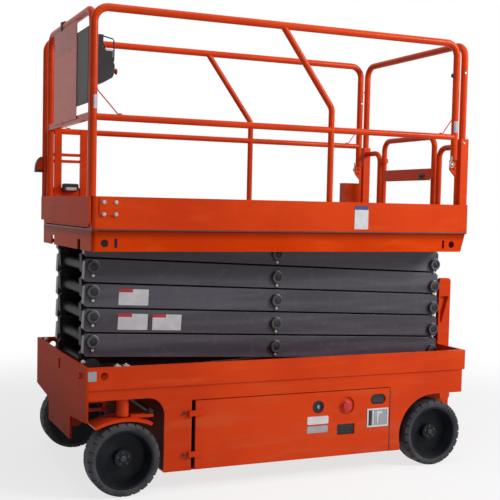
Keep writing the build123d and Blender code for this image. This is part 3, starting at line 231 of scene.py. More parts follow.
def enamel(name, colours, roughness, worn, shade=None, sheen=0.10, coat=0.04):
    """Orange enamel. The function shade(paint) gives a mask of where it is darkened toward dark red: painted
    shade on the frame and the front plate, and a darker band and spot on the panel.
    """
    colour, pale, deep = colours
    paint = Finish(name)
    cloud = paint.noise(2.2, 4.0)
    streak = paint.noise(9.0, 5.0, (0.35, 0.35, 2.0))
    peel = paint.noise(260.0, 2.0)
    scuff = paint.noise(34.0, 6.0, (1.0, 1.0, 0.4)).between(0.60, 0.74)
    rounded, edge = paint.edges(0.0022)
    rubbed = (edge * paint.noise(60.0, 4.0).between(0.42, 0.62)) * worn
    low_dust = (1.0 - paint.height().between(0.10, 0.75)) * streak.between(0.42, 0.72) * 0.16
    body = paint.mix(cloud.between(0.36, 0.66), deep, colour)
    body = paint.mix(streak.between(0.50, 0.74) * 0.45, body, pale)
    body = paint.mix(scuff * 0.10, body, DUST)
    body = paint.mix(low_dust, body, DUST)
    body = paint.mix(rubbed, body, pale)
    if shade:
        body = paint.mix(shade(paint), body, DARK_RED)
    gloss = cloud * 0.10 + scuff * 0.16 + low_dust * 0.5 + (roughness - 0.04)
    paint.set(Base_Color=body, Roughness=gloss.clamped(), Coat_Weight=coat, Coat_Roughness=0.14)
    paint.set(Specular_IOR_Level=sheen)
    paint.bump(peel * 0.3 + cloud, 0.18, 0.0008, rounded)
    return paint.material


def painted_shade_under_floor(paint):
    """Painted shade in the sheltered strip just under the platform's floor."""
    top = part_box("platform_frame")[1].z
    return paint.height().between(top - 0.055, top - 0.004) * 0.62


def upper_panel(paint):
    """Darker above a given height on the panel, and in one small round spot on it."""
    spot_distance = paint.vector_math("DISTANCE", paint.place, PANEL_DARK_SPOT)
    dark_spot = (1.0 - spot_distance.between(0.004, 0.011)) * 0.5
    return (paint.height().between(*PANEL_DARK_BAND) * 0.30 + dark_spot).clamped()


def painted_shade_front(paint):
    """Painted shade on the front plate: a little over all of it, and more toward its foot."""
    return (1.0 - paint.height().between(0.20, 0.66)) * 0.55 + 0.10


PANEL_DARK_SPOT = (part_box("deck_panel")[1].x, -0.008, 2.174)
PANEL_DARK_BAND = (2.285, 2.305)
ENAMEL = enamel("orange_enamel", ORANGE, 0.30, 0.75)
# the frame has painted shade just under the floor's edge
FRAME_ENAMEL = enamel("frame_enamel", ORANGE, 0.34, 0.75, painted_shade_under_floor, 0.02, 0.0)
# the front plate has painted shade, deepest toward its foot
FRONT_ENAMEL = enamel("front_enamel", ORANGE, 0.40, 0.75, painted_shade_front, 0.01, 0.0)
DECK_ENAMEL = enamel("deck_enamel", ORANGE, 0.38, 0.75, None, 0.02, 0.0)
# the walls of the wheel bay get painted shade
BAY_PAINTED_SHADE = enamel("bay_enamel_painted_shade", SHADED_ORANGE, 0.5, 0.3, None, 0.02, 0.0)
# the panel is darker above a given height and in one small spot
PANEL_ENAMEL = enamel("panel_enamel", ORANGE, 0.30, 0.75, upper_panel)
print("enamels ready")

# %% [markdown]
# ## Arm paint
# The outer arms are a dark violet-grey with a satin sheen. The inner ones, which stand in their
# shade, get a nearly black copy of that paint, which is painted shade. Long drawn tubes show faint
# lengthwise changes of shade from rolling, so the noise is stretched along the arms. Edges turn
# paler there, partly as rubbed paint and partly as a painted highlight.

# %% Arm grey, black paint and bare metal
RUST = (0.16, 0.055, 0.022)
EVEN = (1.0, 1.0, 1.0)


def arm_paint(name, deep, pale, sheen):
    """Satin paint on drawn tube, with a shade that changes slowly along the tube."""
    paint = Finish(name)
    rolled = paint.noise(5.0, 3.0, (0.25, 1.0, 3.0))
    dust = paint.noise(22.0, 5.0).between(0.50, 0.75)
    rounded, edge = paint.edges(0.003)
    body = paint.mix(rolled.between(0.35, 0.68), deep, pale)
    body = paint.mix(dust * 0.14, body, (0.20, 0.17, 0.16))
    # pale along the edges: partly rubbed paint, partly a painted highlight
    body = paint.mix(edge * 0.55, body, (0.26, 0.25, 0.27))
    paint.set(Base_Color=body, Roughness=(rolled * 0.16 + dust * 0.10 + 0.28), Specular_IOR_Level=sheen)
    paint.bump(rolled * 0.6 + paint.noise(180.0, 2.0) * 0.2, 0.20, 0.0008, rounded)
    return paint.material


def dark_coat(name, colour, roughness, worn, sheen=0.28):
    """Black paint or plastic with fine grain, dusty in patches and paler where rubbed."""
    paint = Finish(name)
    grain = paint.noise(320.0, 2.0)
    cloud = paint.noise(7.0, 4.0)
    rounded, edge = paint.edges(0.0018)
    body = paint.mix(cloud.between(0.35, 0.75), colour, tuple(c * 1.9 + 0.004 for c in colour))
    body = paint.mix(edge * worn, body, (0.15, 0.145, 0.14))
    paint.set(Base_Color=body, Roughness=(cloud * 0.22 + roughness - 0.08), Specular_IOR_Level=sheen)
    paint.bump(grain * 0.5 + cloud, 0.22, 0.0006, rounded)
    return paint.material


def bare_metal(name, colour, roughness, stain, brushed, dark_edge=False):
    """Plated, ground or rolled metal, stained and brushed lengthwise, with its upright faces dark red where
    dark_edge is set.
    """
    metal = Finish(name)
    line = metal.noise(140.0, 3.0, brushed)
    cloud = metal.noise(14.0, 4.0)
    rounded, edge = metal.edges(0.001)
    body = metal.mix(cloud.between(0.55, 0.80) * stain, colour, RUST)
    body = metal.mix(line * 0.30, body, tuple(c * 0.55 for c in colour))
    bare = 0.9
    if dark_edge:
        level = metal.upward(metal.surface("Normal")).math("ABSOLUTE").between(0.5, 0.8)
        body = metal.mix(level, DARK_RED, body)
        bare = level * 0.9
    metal.set(Base_Color=body, Metallic=bare, Roughness=(line * 0.18 + cloud * 0.12 + roughness - 0.10))
    metal.bump(line, 0.15, 0.0004, rounded)
    return metal.material


ARM_PAINT = arm_paint("arm_grey", (0.048, 0.042, 0.056), (0.082, 0.076, 0.096), 0.35)
# the inner arms' nearly black copy of the arm paint is painted shade
INNER_ARM_SHADE = arm_paint("arm_painted_shade", (0.018, 0.014, 0.016), (0.030, 0.025, 0.029), 0.03)
BLACK_PAINT = dark_coat("black_paint", (0.012, 0.012, 0.013), 0.42, 0.35)
BLACK_PLASTIC = dark_coat("black_plastic", (0.018, 0.018, 0.020), 0.50, 0.12)
LATCH_PAINT = dark_coat("latch_green", (0.030, 0.036, 0.030), 0.40, 0.35)
RIM_PAINT = dark_coat("rim_black", (0.008, 0.009, 0.012), 0.36, 0.30, 0.10)
PIN_STEEL = dark_coat("pin_black", (0.022, 0.021, 0.025), 0.34, 0.60)
ZINC = bare_metal("zinc_plate", (0.42, 0.41, 0.40), 0.38, 0.25, EVEN)
KEEPER_HIGHLIGHT_STEEL = bare_metal("keeper_highlight_steel", (0.33, 0.33, 0.35), 0.34, 0.15, EVEN)
FLOOR_STEEL = bare_metal("floor_plate", (0.36, 0.37, 0.38), 0.44, 0.18, (0.2, 1.0, 1.0), True)
CHROME = bare_metal("chrome_rod", (0.62, 0.62, 0.64), 0.20, 0.02, (0.1, 1.0, 1.0))
print("paints and metals ready")

# %% [markdown]
# ## Rubber and small finishes
# The solid tyres are non-marking grey-black rubber, greyer where the tread has picked up floor dust.
# Labels are vinyl film with a soft sheen, and they stay blank: a white field with a coloured band.

# %% Rubber, vinyl and coloured plastic
def rubber():
    """Dull solid-tyre rubber, paler where dust sits and along its rubbed edges."""
    tyre = Finish("tyre_rubber")
    grain = tyre.noise(190.0, 3.0)
    cloud = tyre.noise(11.0, 5.0)
    rounded, edge = tyre.edges(0.0025)
    body = tyre.mix(cloud.between(0.34, 0.72), (0.026, 0.026, 0.030), (0.062, 0.063, 0.070))
    body = tyre.mix(edge * 0.35, body, (0.12, 0.12, 0.13))
    tyre.set(Base_Color=body, Roughness=(cloud * 0.2 + 0.62), Specular_IOR_Level=0.25)
    tyre.bump(grain * 0.5 + cloud * 0.5, 0.35, 0.0008, rounded)
    return tyre.material


def film(name, colour, roughness=0.36):
    """Printed film or coloured plastic: almost even, slightly rubbed and faded."""
    skin = Finish(name)
    fade = skin.noise(18.0, 4.0)
    scratch = skin.noise(120.0, 5.0, (0.15, 1.0, 1.0)).between(0.60, 0.72)
    body = skin.mix(fade.between(0.35, 0.75), tuple(c * 0.84 for c in colour), colour)
    body = skin.mix(scratch * 0.25, body, tuple(c * 0.6 + 0.08 for c in colour))
    skin.set(Base_Color=body, Roughness=(fade * 0.15 + roughness - 0.06))
    skin.bump(scratch, 0.10, 0.0002)
    return skin.material


RUBBER = rubber()
WHITE_FILM = film("label_white", (0.66, 0.66, 0.68))
GREY_FILM = film("label_grey", (0.36, 0.37, 0.40))
SILVER_FILM = film("label_silver", (0.45, 0.46, 0.49))
RED_FILM = film("label_red", (0.50, 0.020, 0.030))
BLUE_FILM = film("label_blue", (0.030, 0.045, 0.20))
RED_PLASTIC = film("red_plastic", (0.56, 0.014, 0.030), 0.26)
BATTERY_CASE = dark_coat("battery_case", (0.020, 0.022, 0.026), 0.55, 0.10)
print("rubber, films and plastics ready")

# %% [markdown]
# ## Which finish each part of the machine has
# The parts of the construction model keep their shape and place. Each gets its material from a short
# table of name starts, of which the first row that fits decides, and the arms get softer edges.

# %% Finishes on the construction model
FINISH_OF = (
    # name starts with, finish
    ("inner_arms", INNER_ARM_SHADE),
    ("outer_arms", ARM_PAINT),
    ("slide_blocks", BLACK_PLASTIC),
    ("arm_supports", BLACK_PAINT),
    ("lift_rod", CHROME),
    ("lift_barrel", BLACK_PAINT),
    ("rim", RIM_PAINT),
    ("tyre", RUBBER),
    ("tray_blocks", BATTERY_CASE),
    ("control_box", BLACK_PLASTIC),
    ("platform_floor", FLOOR_STEEL),
    ("platform_channels", BLACK_PAINT),
    ("platform_frame", FRAME_ENAMEL),
    ("deck_panel", PANEL_ENAMEL),
    ("deck_floor", DECK_ENAMEL),
    ("front_plate", FRONT_ENAMEL),
    ("chassis_bulkheads", BAY_PAINTED_SHADE),
    ("tie_rod", BLACK_PAINT),
    ("", ENAMEL),
)

ARM_EDGE = 0.004


def break_edges(thing, width, segments, harden=False):
    """Rounds the sharp edges of an object by a small bevel."""
    edge = thing.modifiers.new("edge", "BEVEL")
    edge.width = width
    edge.segments = segments
    edge.limit_method = "ANGLE"
    edge.angle_limit = math.radians(40)
    edge.harden_normals = harden


for node_name, node in NODES.items():
    finish = next(material for start, material in FINISH_OF if node_name.startswith(start))
    for material_slot in node.material_slots:
        material_slot.material = finish
    if "_arms_" in node_name:
        break_edges(node, ARM_EDGE, 3, True)
print("finishes set on", len(NODES), "nodes")

# %% [markdown]
# ## Tools for small pieces
# Every added piece is one bmesh, filled by a few helpers: a box, a shape turned on a lathe, an
# outline with thickness, a tube along points, a film round a tube, and a hexagon bolt. Most of them
# lay out rings of points and join each ring to the next. A helper works in its own plain frame and
# takes a matrix that puts the shape in place, so one form can be repeated anywhere. A small bevel
# modifier then breaks the edges, as a real part's are.


# %% Mesh helpers
SKEW = (0.31, 0.17, 0.94)  # an upward direction that no bar runs along


def facing(point, normal, up=UP):
    """Matrix whose Z axis is the normal at that point, with its Y axis as near up as can be."""
    z = Vector(normal).normalized()
    y = Vector(up) - z * Vector(up).dot(z)
    if y.length < 1e-6:
        y = Vector((1, 0, 0)) - z * z.x
    y.normalize()
    x = y.cross(z)
    return Matrix.Translation(point) @ Matrix((x, y, z)).transposed().to_4x4()


def add_points(mesh, points, place=Matrix()):
    return [mesh.verts.new(place @ Vector(point)) for point in points]


def join_rings(mesh, rings):
    """Faces from each ring of points to the next. A ring may be one point, as at a closed end."""
    for one, other in zip(rings, rings[1:]):
        steps = max(len(one), len(other))
        for i in range(steps):
            j = (i + 1) % steps
            corners = [one[i % len(one)], one[j % len(one)]]
            corners += [other[j % len(other)], other[i % len(other)]]
            corners = list(dict.fromkeys(corners))
            if len(corners) > 2:
                mesh.faces.new(corners)


def circle(radius, height, steps):
    turns = [2 * math.pi * step / steps for step in range(steps)]
    return [(radius * math.cos(turn), radius * math.sin(turn), height) for turn in turns]


def add_box(mesh, low, high, place=Matrix()):
    low, high = Vector(low), Vector(high)
    size = Matrix.Diagonal((*(high - low), 1.0))
    bmesh.ops.create_cube(mesh, size=1.0, matrix=place @ Matrix.Translation((low + high) / 2) @ size)


def add_lathe(mesh, profile, place, steps=24):
    """Turns a profile of (radius, height) points about Z. A radius of 0 closes the end."""
    rings = []
    for radius, height in profile:
        points = circle(radius, height, steps) if radius > 0.0 else [(0, 0, height)]
        rings.append(add_points(mesh, points, place))
    join_rings(mesh, rings)


def add_plate(mesh, outline, thickness, place):
    """Flat shape of (x, y) points from z = 0 to its thickness."""
    lower = add_points(mesh, [(x, y, 0) for x, y in outline], place)
    upper = add_points(mesh, [(x, y, thickness) for x, y in outline], place)
    mesh.faces.new(lower[::-1])
    mesh.faces.new(upper)
    join_rings(mesh, [lower, upper])


def add_tube(mesh, points, radius, sides=8):
    """Round bar along a line of points, closed at both ends."""
    points = [Vector(p) for p in points]
    rings = []
    for i, point in enumerate(points):
        ahead = points[min(i + 1, len(points) - 1)] - points[max(i - 1, 0)]
        rings.append(add_points(mesh, circle(radius, 0, sides), facing(point, ahead, SKEW)))
    join_rings(mesh, rings)
    mesh.faces.new(rings[0][::-1])
    mesh.faces.new(rings[-1])


def add_wrap(mesh, centre, radius, height, start, end, thickness=0.0006, steps=10):
    """Film wrapped round an upright tube, from one angle to another in degrees."""
    rings = []
    for step in range(steps + 1):
        angle = math.radians(start + (end - start) * step / steps)
        out = Vector((math.cos(angle), math.sin(angle), 0))
        corners = ((radius, -height / 2), (radius + thickness, -height / 2))
        corners += ((radius + thickness, height / 2), (radius, height / 2))
        points = [Vector(centre) + out * reach + Vector((0, 0, up)) for reach, up in corners]
        rings.append(add_points(mesh, points))
    join_rings(mesh, rings)
    mesh.faces.new(rings[0])
    mesh.faces.new(rings[-1][::-1])


def add_bolt(mesh, point, normal, across=0.019):
    """Hexagon head on a round washer."""
    place = facing(point, normal)
    washer = across * 0.66
    add_lathe(mesh, [(0.0, 0.0), (washer, 0.0), (washer, 0.002), (across * 0.5, 0.0021)], place, 20)
    head = across * 0.577
    top = across * 0.42
    profile = [(head, 0.002), (head, top), (head * 0.82, top + 0.0016), (0.0, top + 0.0016)]
    add_lathe(mesh, profile, place, 6)


def rounded_outline(width, height, corner, steps=4):
    """Outline of a rectangle about its middle, with round corners."""
    outline = []
    for sx, sy, start in ((1, 1, 0), (-1, 1, 90), (-1, -1, 180), (1, -1, 270)):
        for step in range(steps + 1):
            angle = math.radians(start + 90 * step / steps)
            x = sx * (width / 2 - corner) + corner * math.cos(angle)
            y = sy * (height / 2 - corner) + corner * math.sin(angle)
            outline.append((x, y))
    return outline


def place_object(name, data):
    made = bpy.data.objects.new(name, data)
    bpy.context.scene.collection.objects.link(made)
    return made


def mesh_data(name, mesh, finish):
    data = bpy.data.meshes.new(name)
    mesh.to_mesh(data)
    mesh.free()
    data.materials.append(finish)
    return data


def piece(name, mesh, finish, body, bevel=0.0006, smooth=True):
    """Turns the bmesh into an object that rides on a body of the machine."""
    bmesh.ops.recalc_face_normals(mesh, faces=mesh.faces)
    data = mesh_data(name, mesh, finish)
    made = place_object(name, data)
    if smooth:
        data.polygons.foreach_set("use_smooth", [True] * len(data.polygons))
        data.set_sharp_from_angle(angle=math.radians(32))
    if bevel:
        break_edges(made, bevel, 2)
    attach(made, body)
    return made


def turned(name, body, profile, place, steps, finish, bevel=0.0006):
    """A piece that is one shape turned on a lathe."""
    mesh = bmesh.new()
    add_lathe(mesh, profile, place, steps)
    piece(name, mesh, finish, body, bevel)


def bolted(name, body, bolts, across, finish, bevel=0.0004):
    """A piece that is a set of bolts, each given by its place and the way that its head faces."""
    mesh = bmesh.new()
    for spot, normal in bolts:
        add_bolt(mesh, spot, normal, across)
    piece(name, mesh, finish, body, bevel)


print("mesh helpers ready")

# %% [markdown]
# ## Tyres
# A solid tyre has a smooth crown and a row of notches cut into each shoulder. The construction model
# has the plain ring, so it is replaced: the ring is turned again as many narrow slices, and every
# other slice is cut down at its two shoulders, which leaves blocks with upright walls.

# %% Treaded tyres
TREAD_BLOCKS = 24
NOTCH_SHARE = 0.20
NOTCH_DEPTH = 0.008
NOTCH_REACH = 0.026


def tyre_slice(radius, bore, half, notched):
    """Cross-section of the tyre as (y, radius) points, with or without the shoulder notches."""
    cut = NOTCH_DEPTH if notched else 0.0
    shoulder = half - 0.010
    side = [
        (half - 0.006, bore),
        (half - 0.002, bore + 0.005),
        (half - 0.001, bore + 0.012),
        (half, radius - 0.018 - cut * 0.3),
        (shoulder, radius - 0.003 - cut),
        (half - NOTCH_REACH, radius - cut * 0.8),
        (half - NOTCH_REACH - 0.004, radius),
    ]
    return side + [(-y, r) for y, r in reversed(side)]


def make_tyre(label):
    """Turns the tyre again in slices, and lets it replace the plain ring."""
    low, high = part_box("tyre_" + label)
    rim_low, rim_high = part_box("rim_" + label)
    centre = (low + high) / 2
    radius = (high.z - low.z) / 2
    half = (high.y - low.y) / 2
    bore = (rim_high.z - rim_low.z) / 2 + SKIN
    mesh = bmesh.new()
    rings = []
    for block in range(TREAD_BLOCKS):
        start = block / TREAD_BLOCKS
        end = (block + 1 - NOTCH_SHARE) / TREAD_BLOCKS
        step = 1.0 / TREAD_BLOCKS
        for turn, notched in (
            (start, False),
            ((start + end) / 2, False),
            (end, False),
            (end + step * 0.02, True),
            (start + step * 0.98, True),
        ):
            angle = 2 * math.pi * turn
            section = tyre_slice(radius, bore, half, notched)
            points = [centre + Vector((r * math.sin(angle), y, r * math.cos(angle))) for y, r in section]
            rings.append(add_points(mesh, points))
    join_rings(mesh, rings + rings[:1])
    made = piece("tread_" + label, mesh, RUBBER, "wheel_" + label, 0.0)
    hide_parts("tyre_" + label)


for wheel, _ in WHEELS:
    make_tyre(wheel)
print("four tyres with", TREAD_BLOCKS, "blocks each")

# %% [markdown]
# ## Wheel bolts
# In the middle of the black dish a hub cap stands proud, held by a ring of bolts that catch the
# light. The bolts sit on the web of the rim, on a circle outside the cap.

# %% Hub bolts and caps
HUB_BOLTS = 5
HUB_CIRCLE_R = 0.030
HUB_DEPTH = 0.036
HUB_CAP = ((0.0, 0.0), (0.017, 0.0), (0.017, 0.006), (0.013, 0.010), (0.0, 0.011))


def make_hub(label, side):
    """Ring of bolts and the cap in the dish of one wheel."""
    low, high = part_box("rim_" + label)
    centre = (low + high) / 2
    outer = high.y if side > 0 else low.y
    hub_face = outer - side * HUB_DEPTH
    bolts = []
    for turn in range(HUB_BOLTS):
        angle = 2 * math.pi * (turn + 0.2) / HUB_BOLTS
        x = centre.x + HUB_CIRCLE_R * math.cos(angle)
        z = centre.z + HUB_CIRCLE_R * math.sin(angle)
        bolts.append(((x, hub_face, z), (0, side, 0)))
    bolted("hub_bolts_" + label, "wheel_" + label, bolts, 0.011, PIN_STEEL, 0.0003)
    place = facing((centre.x, hub_face, centre.z), (0, side, 0))
    turned("hub_cap_" + label, "wheel_" + label, HUB_CAP, place, 28, PIN_STEEL)


for wheel, side in WHEELS:
    make_hub(wheel, side)
print("hubs on", len(WHEELS), "wheels")

# %% [markdown]
# ## Pin keepers
# Each pin of the stack is held by a thin drop-shaped plate that is slipped over its boss and bolted
# to the arm just below. The outline is the hull of two circles, a large one round the boss and a
# small one round the bolt, so it comes from two arcs. The pins' places come from the joints. The
# pin's end is sunk a little, and a crescent of bare metal on the plate's rim, on its upper rear side,
# is a painted highlight.

# %% Keepers on every pin
KEEPER_RING = 0.037
KEEPER_TAIL = 0.011
KEEPER_DROP = 0.046
KEEPER_THICK = 0.004
PIN_PROUD = 0.020
SOCKET_DEPTH = 0.0059
SOCKET = ((0.0, 0.0), (0.0207, 0.0), (0.0207, 0.0030), (0.018, 0.0040), (0.0, 0.0040))


def pins_of(level):
    """Front, middle and rear pin of an outer arm, as (x, z)."""
    middle = Vector(JOINTS["cross_%d" % level]["pos_m"])
    front = Vector(JOINTS["front_%d" % level if level < LEVELS else "platform_pivot"]["pos_m"])
    rear = 2 * middle - front
    return [(point.x, point.z) for point in (front, middle, rear)]


def keeper_outline(steps=10):
    """Drop shape: a large arc over the boss and a small one round the bolt under it."""
    slope = math.asin((KEEPER_RING - KEEPER_TAIL) / KEEPER_DROP)
    outline = []
    for step in range(steps * 2 + 1):
        angle = -slope + (math.pi + 2 * slope) * step / (steps * 2)
        outline.append((KEEPER_RING * math.cos(angle), KEEPER_RING * math.sin(angle)))
    for step in range(steps + 1):
        angle = math.pi + slope + (math.pi - 2 * slope) * step / steps
        outline.append((KEEPER_TAIL * math.cos(angle), -KEEPER_DROP + KEEPER_TAIL * math.sin(angle)))
    return outline


def highlight_crescent(side, steps=14):
    """Crescent of bare metal on a keeper's rim, on the side that is above and behind: a painted highlight."""
    turns = [math.radians(-20 + 130 * step / steps) for step in range(steps + 1)]
    wide = [KEEPER_RING - 0.0006 - 0.0042 * math.sin(math.pi * step / steps) for step in range(steps + 1)]
    outer = [(KEEPER_RING - 0.0004) * Vector((side * math.cos(a), math.sin(a))) for a in turns]
    inner = [reach * Vector((side * math.cos(a), math.sin(a))) for a, reach in zip(turns, wide)]
    return [tuple(point) for point in outer + inner[::-1]]


for level in range(1, LEVELS + 1):
    body = "outer_%d" % level
    tip_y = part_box("outer_arms_%d" % level)[1].y
    face_y = tip_y - PIN_PROUD
    plates, bolts, sockets, highlight_rims = (bmesh.new() for _ in range(4))
    for _, side in SIDES:
        for x, z in pins_of(level):
            place = facing((x, side * face_y, z), (0, side, 0))
            add_plate(plates, keeper_outline(), KEEPER_THICK, place)
            add_bolt(bolts, (x, side * (face_y + KEEPER_THICK), z - KEEPER_DROP), (0, side, 0), 0.013)
            socket = facing((x, side * (tip_y - SOCKET_DEPTH), z), (0, side, 0))
            add_lathe(sockets, SOCKET, socket, 28)
            rim = place @ Matrix.Translation((0, 0, KEEPER_THICK + 0.0001))
            add_plate(highlight_rims, highlight_crescent(side), 0.0010, rim)
    piece("pin_keepers_%d" % level, plates, PIN_STEEL, body, 0.0012)
    piece("keeper_bolts_%d" % level, bolts, ZINC, body, 0.0003)
    piece("pin_sockets_%d" % level, sockets, BLACK_PAINT, body, 0.0)
    # bare metal crescents on the keepers' rims: painted highlight
    piece("keeper_painted_highlight_%d" % level, highlight_rims, KEEPER_HIGHLIGHT_STEEL, body, 0.0)
print("keepers on", LEVELS * 6, "pins")

# %% [markdown]
# ## Labels
# Labels lie on the surface as thin film with rounded corners. A label with a band is made of films
# side by side, never one over the other, so nothing flickers where they meet. They stay blank.

# %% Labels
FILM = 0.0006
PIN_OFFSET = 0.019


def label(name, body, place, width, height, finish, corner=0.003):
    """One film of one colour."""
    mesh = bmesh.new()
    add_plate(mesh, rounded_outline(width, height, corner), FILM, place)
    piece(name, mesh, finish, body, 0.0, False)


def banded_label(name, body, place, width, height, band, finish, share=1.0):
    """Blank white label with a coloured band along its top, over a share of its width."""
    shift = Matrix.Translation((0, -band / 2, 0))
    label(name + "_field", body, place @ shift, width, height - band, WHITE_FILM)
    shift = Matrix.Translation(((share - 1) * width / 2, (height - band) / 2, 0))
    label(name + "_band", body, place @ shift, width * share, band, finish, 0.002)
    if share < 1.0:
        shift = Matrix.Translation((share * width / 2, (height - band) / 2, 0))
        label(name + "_rest", body, place @ shift, width * (1 - share), band, WHITE_FILM, 0.002)


ARM_LABELS = (
    # level, distance of its middle behind the front pin, width
    (3, 0.223, 0.165),
    (2, 0.220, 0.165),
    (2, 0.412, 0.165),
)
for number, (level, behind, width) in enumerate(ARM_LABELS, 1):
    (front_x, front_z), _, (rear_x, rear_z) = pins_of(level)
    slope = (front_z - rear_z - 2 * PIN_OFFSET) / (front_x - rear_x)
    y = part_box("outer_arms_%d" % level)[1].y - PIN_PROUD
    spot = Vector((front_x - behind, y, front_z - PIN_OFFSET - slope * behind - 0.004))
    place = facing(spot, LEFT) @ Matrix.Rotation(-math.atan(slope), 4, "Z")
    banded_label("arm_label_%d" % number, "outer_%d" % level, place, width, 0.086, 0.018, RED_FILM, 0.46)
print(len(ARM_LABELS), "labels on the arms")

# %% Measures of the chassis and its doors
FRONT_AXLE = sum(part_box("tyre_fl"), Vector()) / 2
REAR_AXLE = sum(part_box("tyre_rl"), Vector()) / 2
MIDDLE_X = (FRONT_AXLE.x + REAR_AXLE.x) / 2
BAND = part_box("chassis_sides")
FRONT_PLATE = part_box("front_plate")
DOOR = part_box("door_left")
BAND_T = 0.008
WALL_T = 0.008
DOOR_PROUD = 0.014
DOOR_FACE = BAND[1].y - BAND_T - WALL_T + DOOR_PROUD
print("middle of the wheelbase", round(MIDDLE_X, 4), "door face", round(DOOR_FACE, 4))

# %% [markdown]
# ## Door controls
# The left door has the ground controls in recesses: a key switch, a red stop button, a switch window
# and a grip. Each recess is already in the door, so the pieces here are what sits in it. Blank
# plates lie next to them. Both doors have a black strip in the gap along their rear edge, which is
# painted shade, and two bolts at their hinges.

# %% Key switch, stop button, window and plates
RECESS_FLOOR = DOOR_FACE - 0.009
GAUGE = Vector((MIDDLE_X - 0.172, RECESS_FLOOR, 0.392))
STOP = Vector((MIDDLE_X - 0.350, RECESS_FLOOR, 0.388))
WINDOW = Vector((MIDDLE_X - 0.350, RECESS_FLOOR, 0.255))
GRIP = Vector((MIDDLE_X - 0.557, RECESS_FLOOR, 0.412))
HINGE_X = 0.656

ring = [(0.035, 0.0), (0.035, 0.006), (0.031, 0.009), (0.028, 0.009), (0.028, 0.003), (0.0, 0.003)]
turned("gauge_bezel", "door_left", ring, facing(GAUGE, LEFT), 40, BLACK_PLASTIC)
mesh = bmesh.new()
barrel = [(0.0, 0.0032), (0.008, 0.0032), (0.008, 0.0075), (0.006, 0.009), (0.0, 0.009)]
add_lathe(mesh, barrel, facing(GAUGE, LEFT), 24)
add_plate(mesh, rounded_outline(0.006, 0.022, 0.002), 0.004, facing(GAUGE + Vector((0, 0.0090, 0)), LEFT))
piece("gauge_switch", mesh, ZINC, "door_left")

cup = [(0.048, 0.0003), (0.048, 0.002), (0.029, 0.0025), (0.025, 0.005), (0.0215, 0.005), (0.0215, 0.0003)]
turned("stop_collar", "door_left", cup, facing(STOP, LEFT), 40, ENAMEL)
button = [(0.0, 0.0135), (0.0205, 0.0135), (0.025, 0.0150), (0.0275, 0.0185)]
button += [(0.0265, 0.0215), (0.022, 0.0235), (0.0, 0.0245)]
turned("stop_button", "door_left", button, facing(STOP, LEFT), 40, RED_PLASTIC)

mesh = bmesh.new()
place = facing(WINDOW + Vector((0, SKIN, 0)), LEFT)
add_plate(mesh, rounded_outline(0.110, 0.058, 0.003), 0.002, place)
for row in range(3):
    add_box(mesh, (-0.048, -0.021 + row * 0.016, 0.002), (0.030, -0.012 + row * 0.016, 0.0045), place)
latch = [(0.007, 0.002), (0.007, 0.006), (0.004, 0.0075), (0.0, 0.0075)]
add_lathe(mesh, latch, place @ Matrix.Translation((0.042, 0, 0)), 16)
piece("window_insert", mesh, BLACK_PLASTIC, "door_left")

mesh = bmesh.new()
place = facing(GRIP + Vector((0, SKIN, 0)), LEFT)
add_plate(mesh, rounded_outline(0.100, 0.056, 0.0270, 8), 0.0015, place)
lip = place @ Matrix.Translation((0, -0.009, 0.0015))
add_plate(mesh, rounded_outline(0.076, 0.024, 0.011, 6), 0.004, lip)
piece("grip_insert", mesh, BLACK_PLASTIC, "door_left")

DOOR_PLATES = (
    # name, x behind the middle, z, width, height, finish
    ("door_plate_upper", 0.171, 0.318, 0.132, 0.044, WHITE_FILM),
    ("door_plate_lower", 0.169, 0.267, 0.130, 0.038, GREY_FILM),
    ("door_frame_field", 0.555, 0.308, 0.122, 0.090, GREY_FILM),
)
for name, behind, z, width, height, finish in DOOR_PLATES:
    spot = (MIDDLE_X - behind, DOOR_FACE + SKIN, z)
    label(name, "door_left", facing(spot, LEFT), width, height, finish, 0.008)

EDGE_BARS = ((-0.070, -0.053, 0.070, -0.044), (-0.070, 0.044, 0.070, 0.053))
EDGE_BARS += ((-0.070, -0.044, -0.060, 0.044), (0.060, -0.044, 0.070, 0.044))
FIELD_BARS = ((-0.034, -0.040, -0.026, 0.040), (-0.004, -0.030, 0.006, 0.034), (0.006, 0.022, 0.030, 0.034))
DOOR_FRAME = (
    # name, finish, foot and face of its bars, bevel, bars as (x, y, x, y) of two corners
    ("door_frame_border", WHITE_FILM, 0.0, 0.003, 0.0006, EDGE_BARS),
    ("door_frame_bars", WHITE_FILM, 0.0008, 0.0016, 0.0003, FIELD_BARS),
    ("door_frame_shade", BLACK_PLASTIC, 0.0008, 0.0016, 0.0003, ((-0.059, -0.043, -0.038, 0.043),)),
)
place = facing((MIDDLE_X - 0.555, DOOR_FACE + SKIN, 0.308), LEFT)
for name, finish, foot, face, bevel, bars in DOOR_FRAME:
    mesh = bmesh.new()
    for x0, y0, x1, y1 in bars:
        add_box(mesh, (x0, y0, foot), (x1, y1, face), place)
    piece(name, mesh, finish, "door_left", bevel)

for name, side in SIDES:
    # black strip in the gap behind the door's rear edge: painted shade
    mesh = bmesh.new()
    inner_y, outer_y = sorted((side * (DOOR_FACE - 0.010), side * (DOOR_FACE - 0.0005)))
    low = (DOOR[0].x - 0.0070, inner_y, DOOR[0].z + 0.004)
    add_box(mesh, low, (DOOR[0].x - 0.0020, outer_y, DOOR[1].z - 0.004))
    piece("door_seam_" + name, mesh, BLACK_PLASTIC, "chassis", 0.0004)
    bolts = [((HINGE_X, side * (DOOR_FACE + 0.001), z), (0, side, 0)) for z in (0.412, 0.192)]
    bolted("hinge_bolts_" + name, "chassis", bolts, 0.014, PIN_STEEL)
print("door controls made")

# %% [markdown]
# ## Bolts and fittings on the paintwork
# The toe board's corner plate is held by four bolts, the side band has a grey label beside its
# tie-down hole, the tall side of the toe board has a label with a blue band, and small brackets are
# bolted inside the bands, near the front.

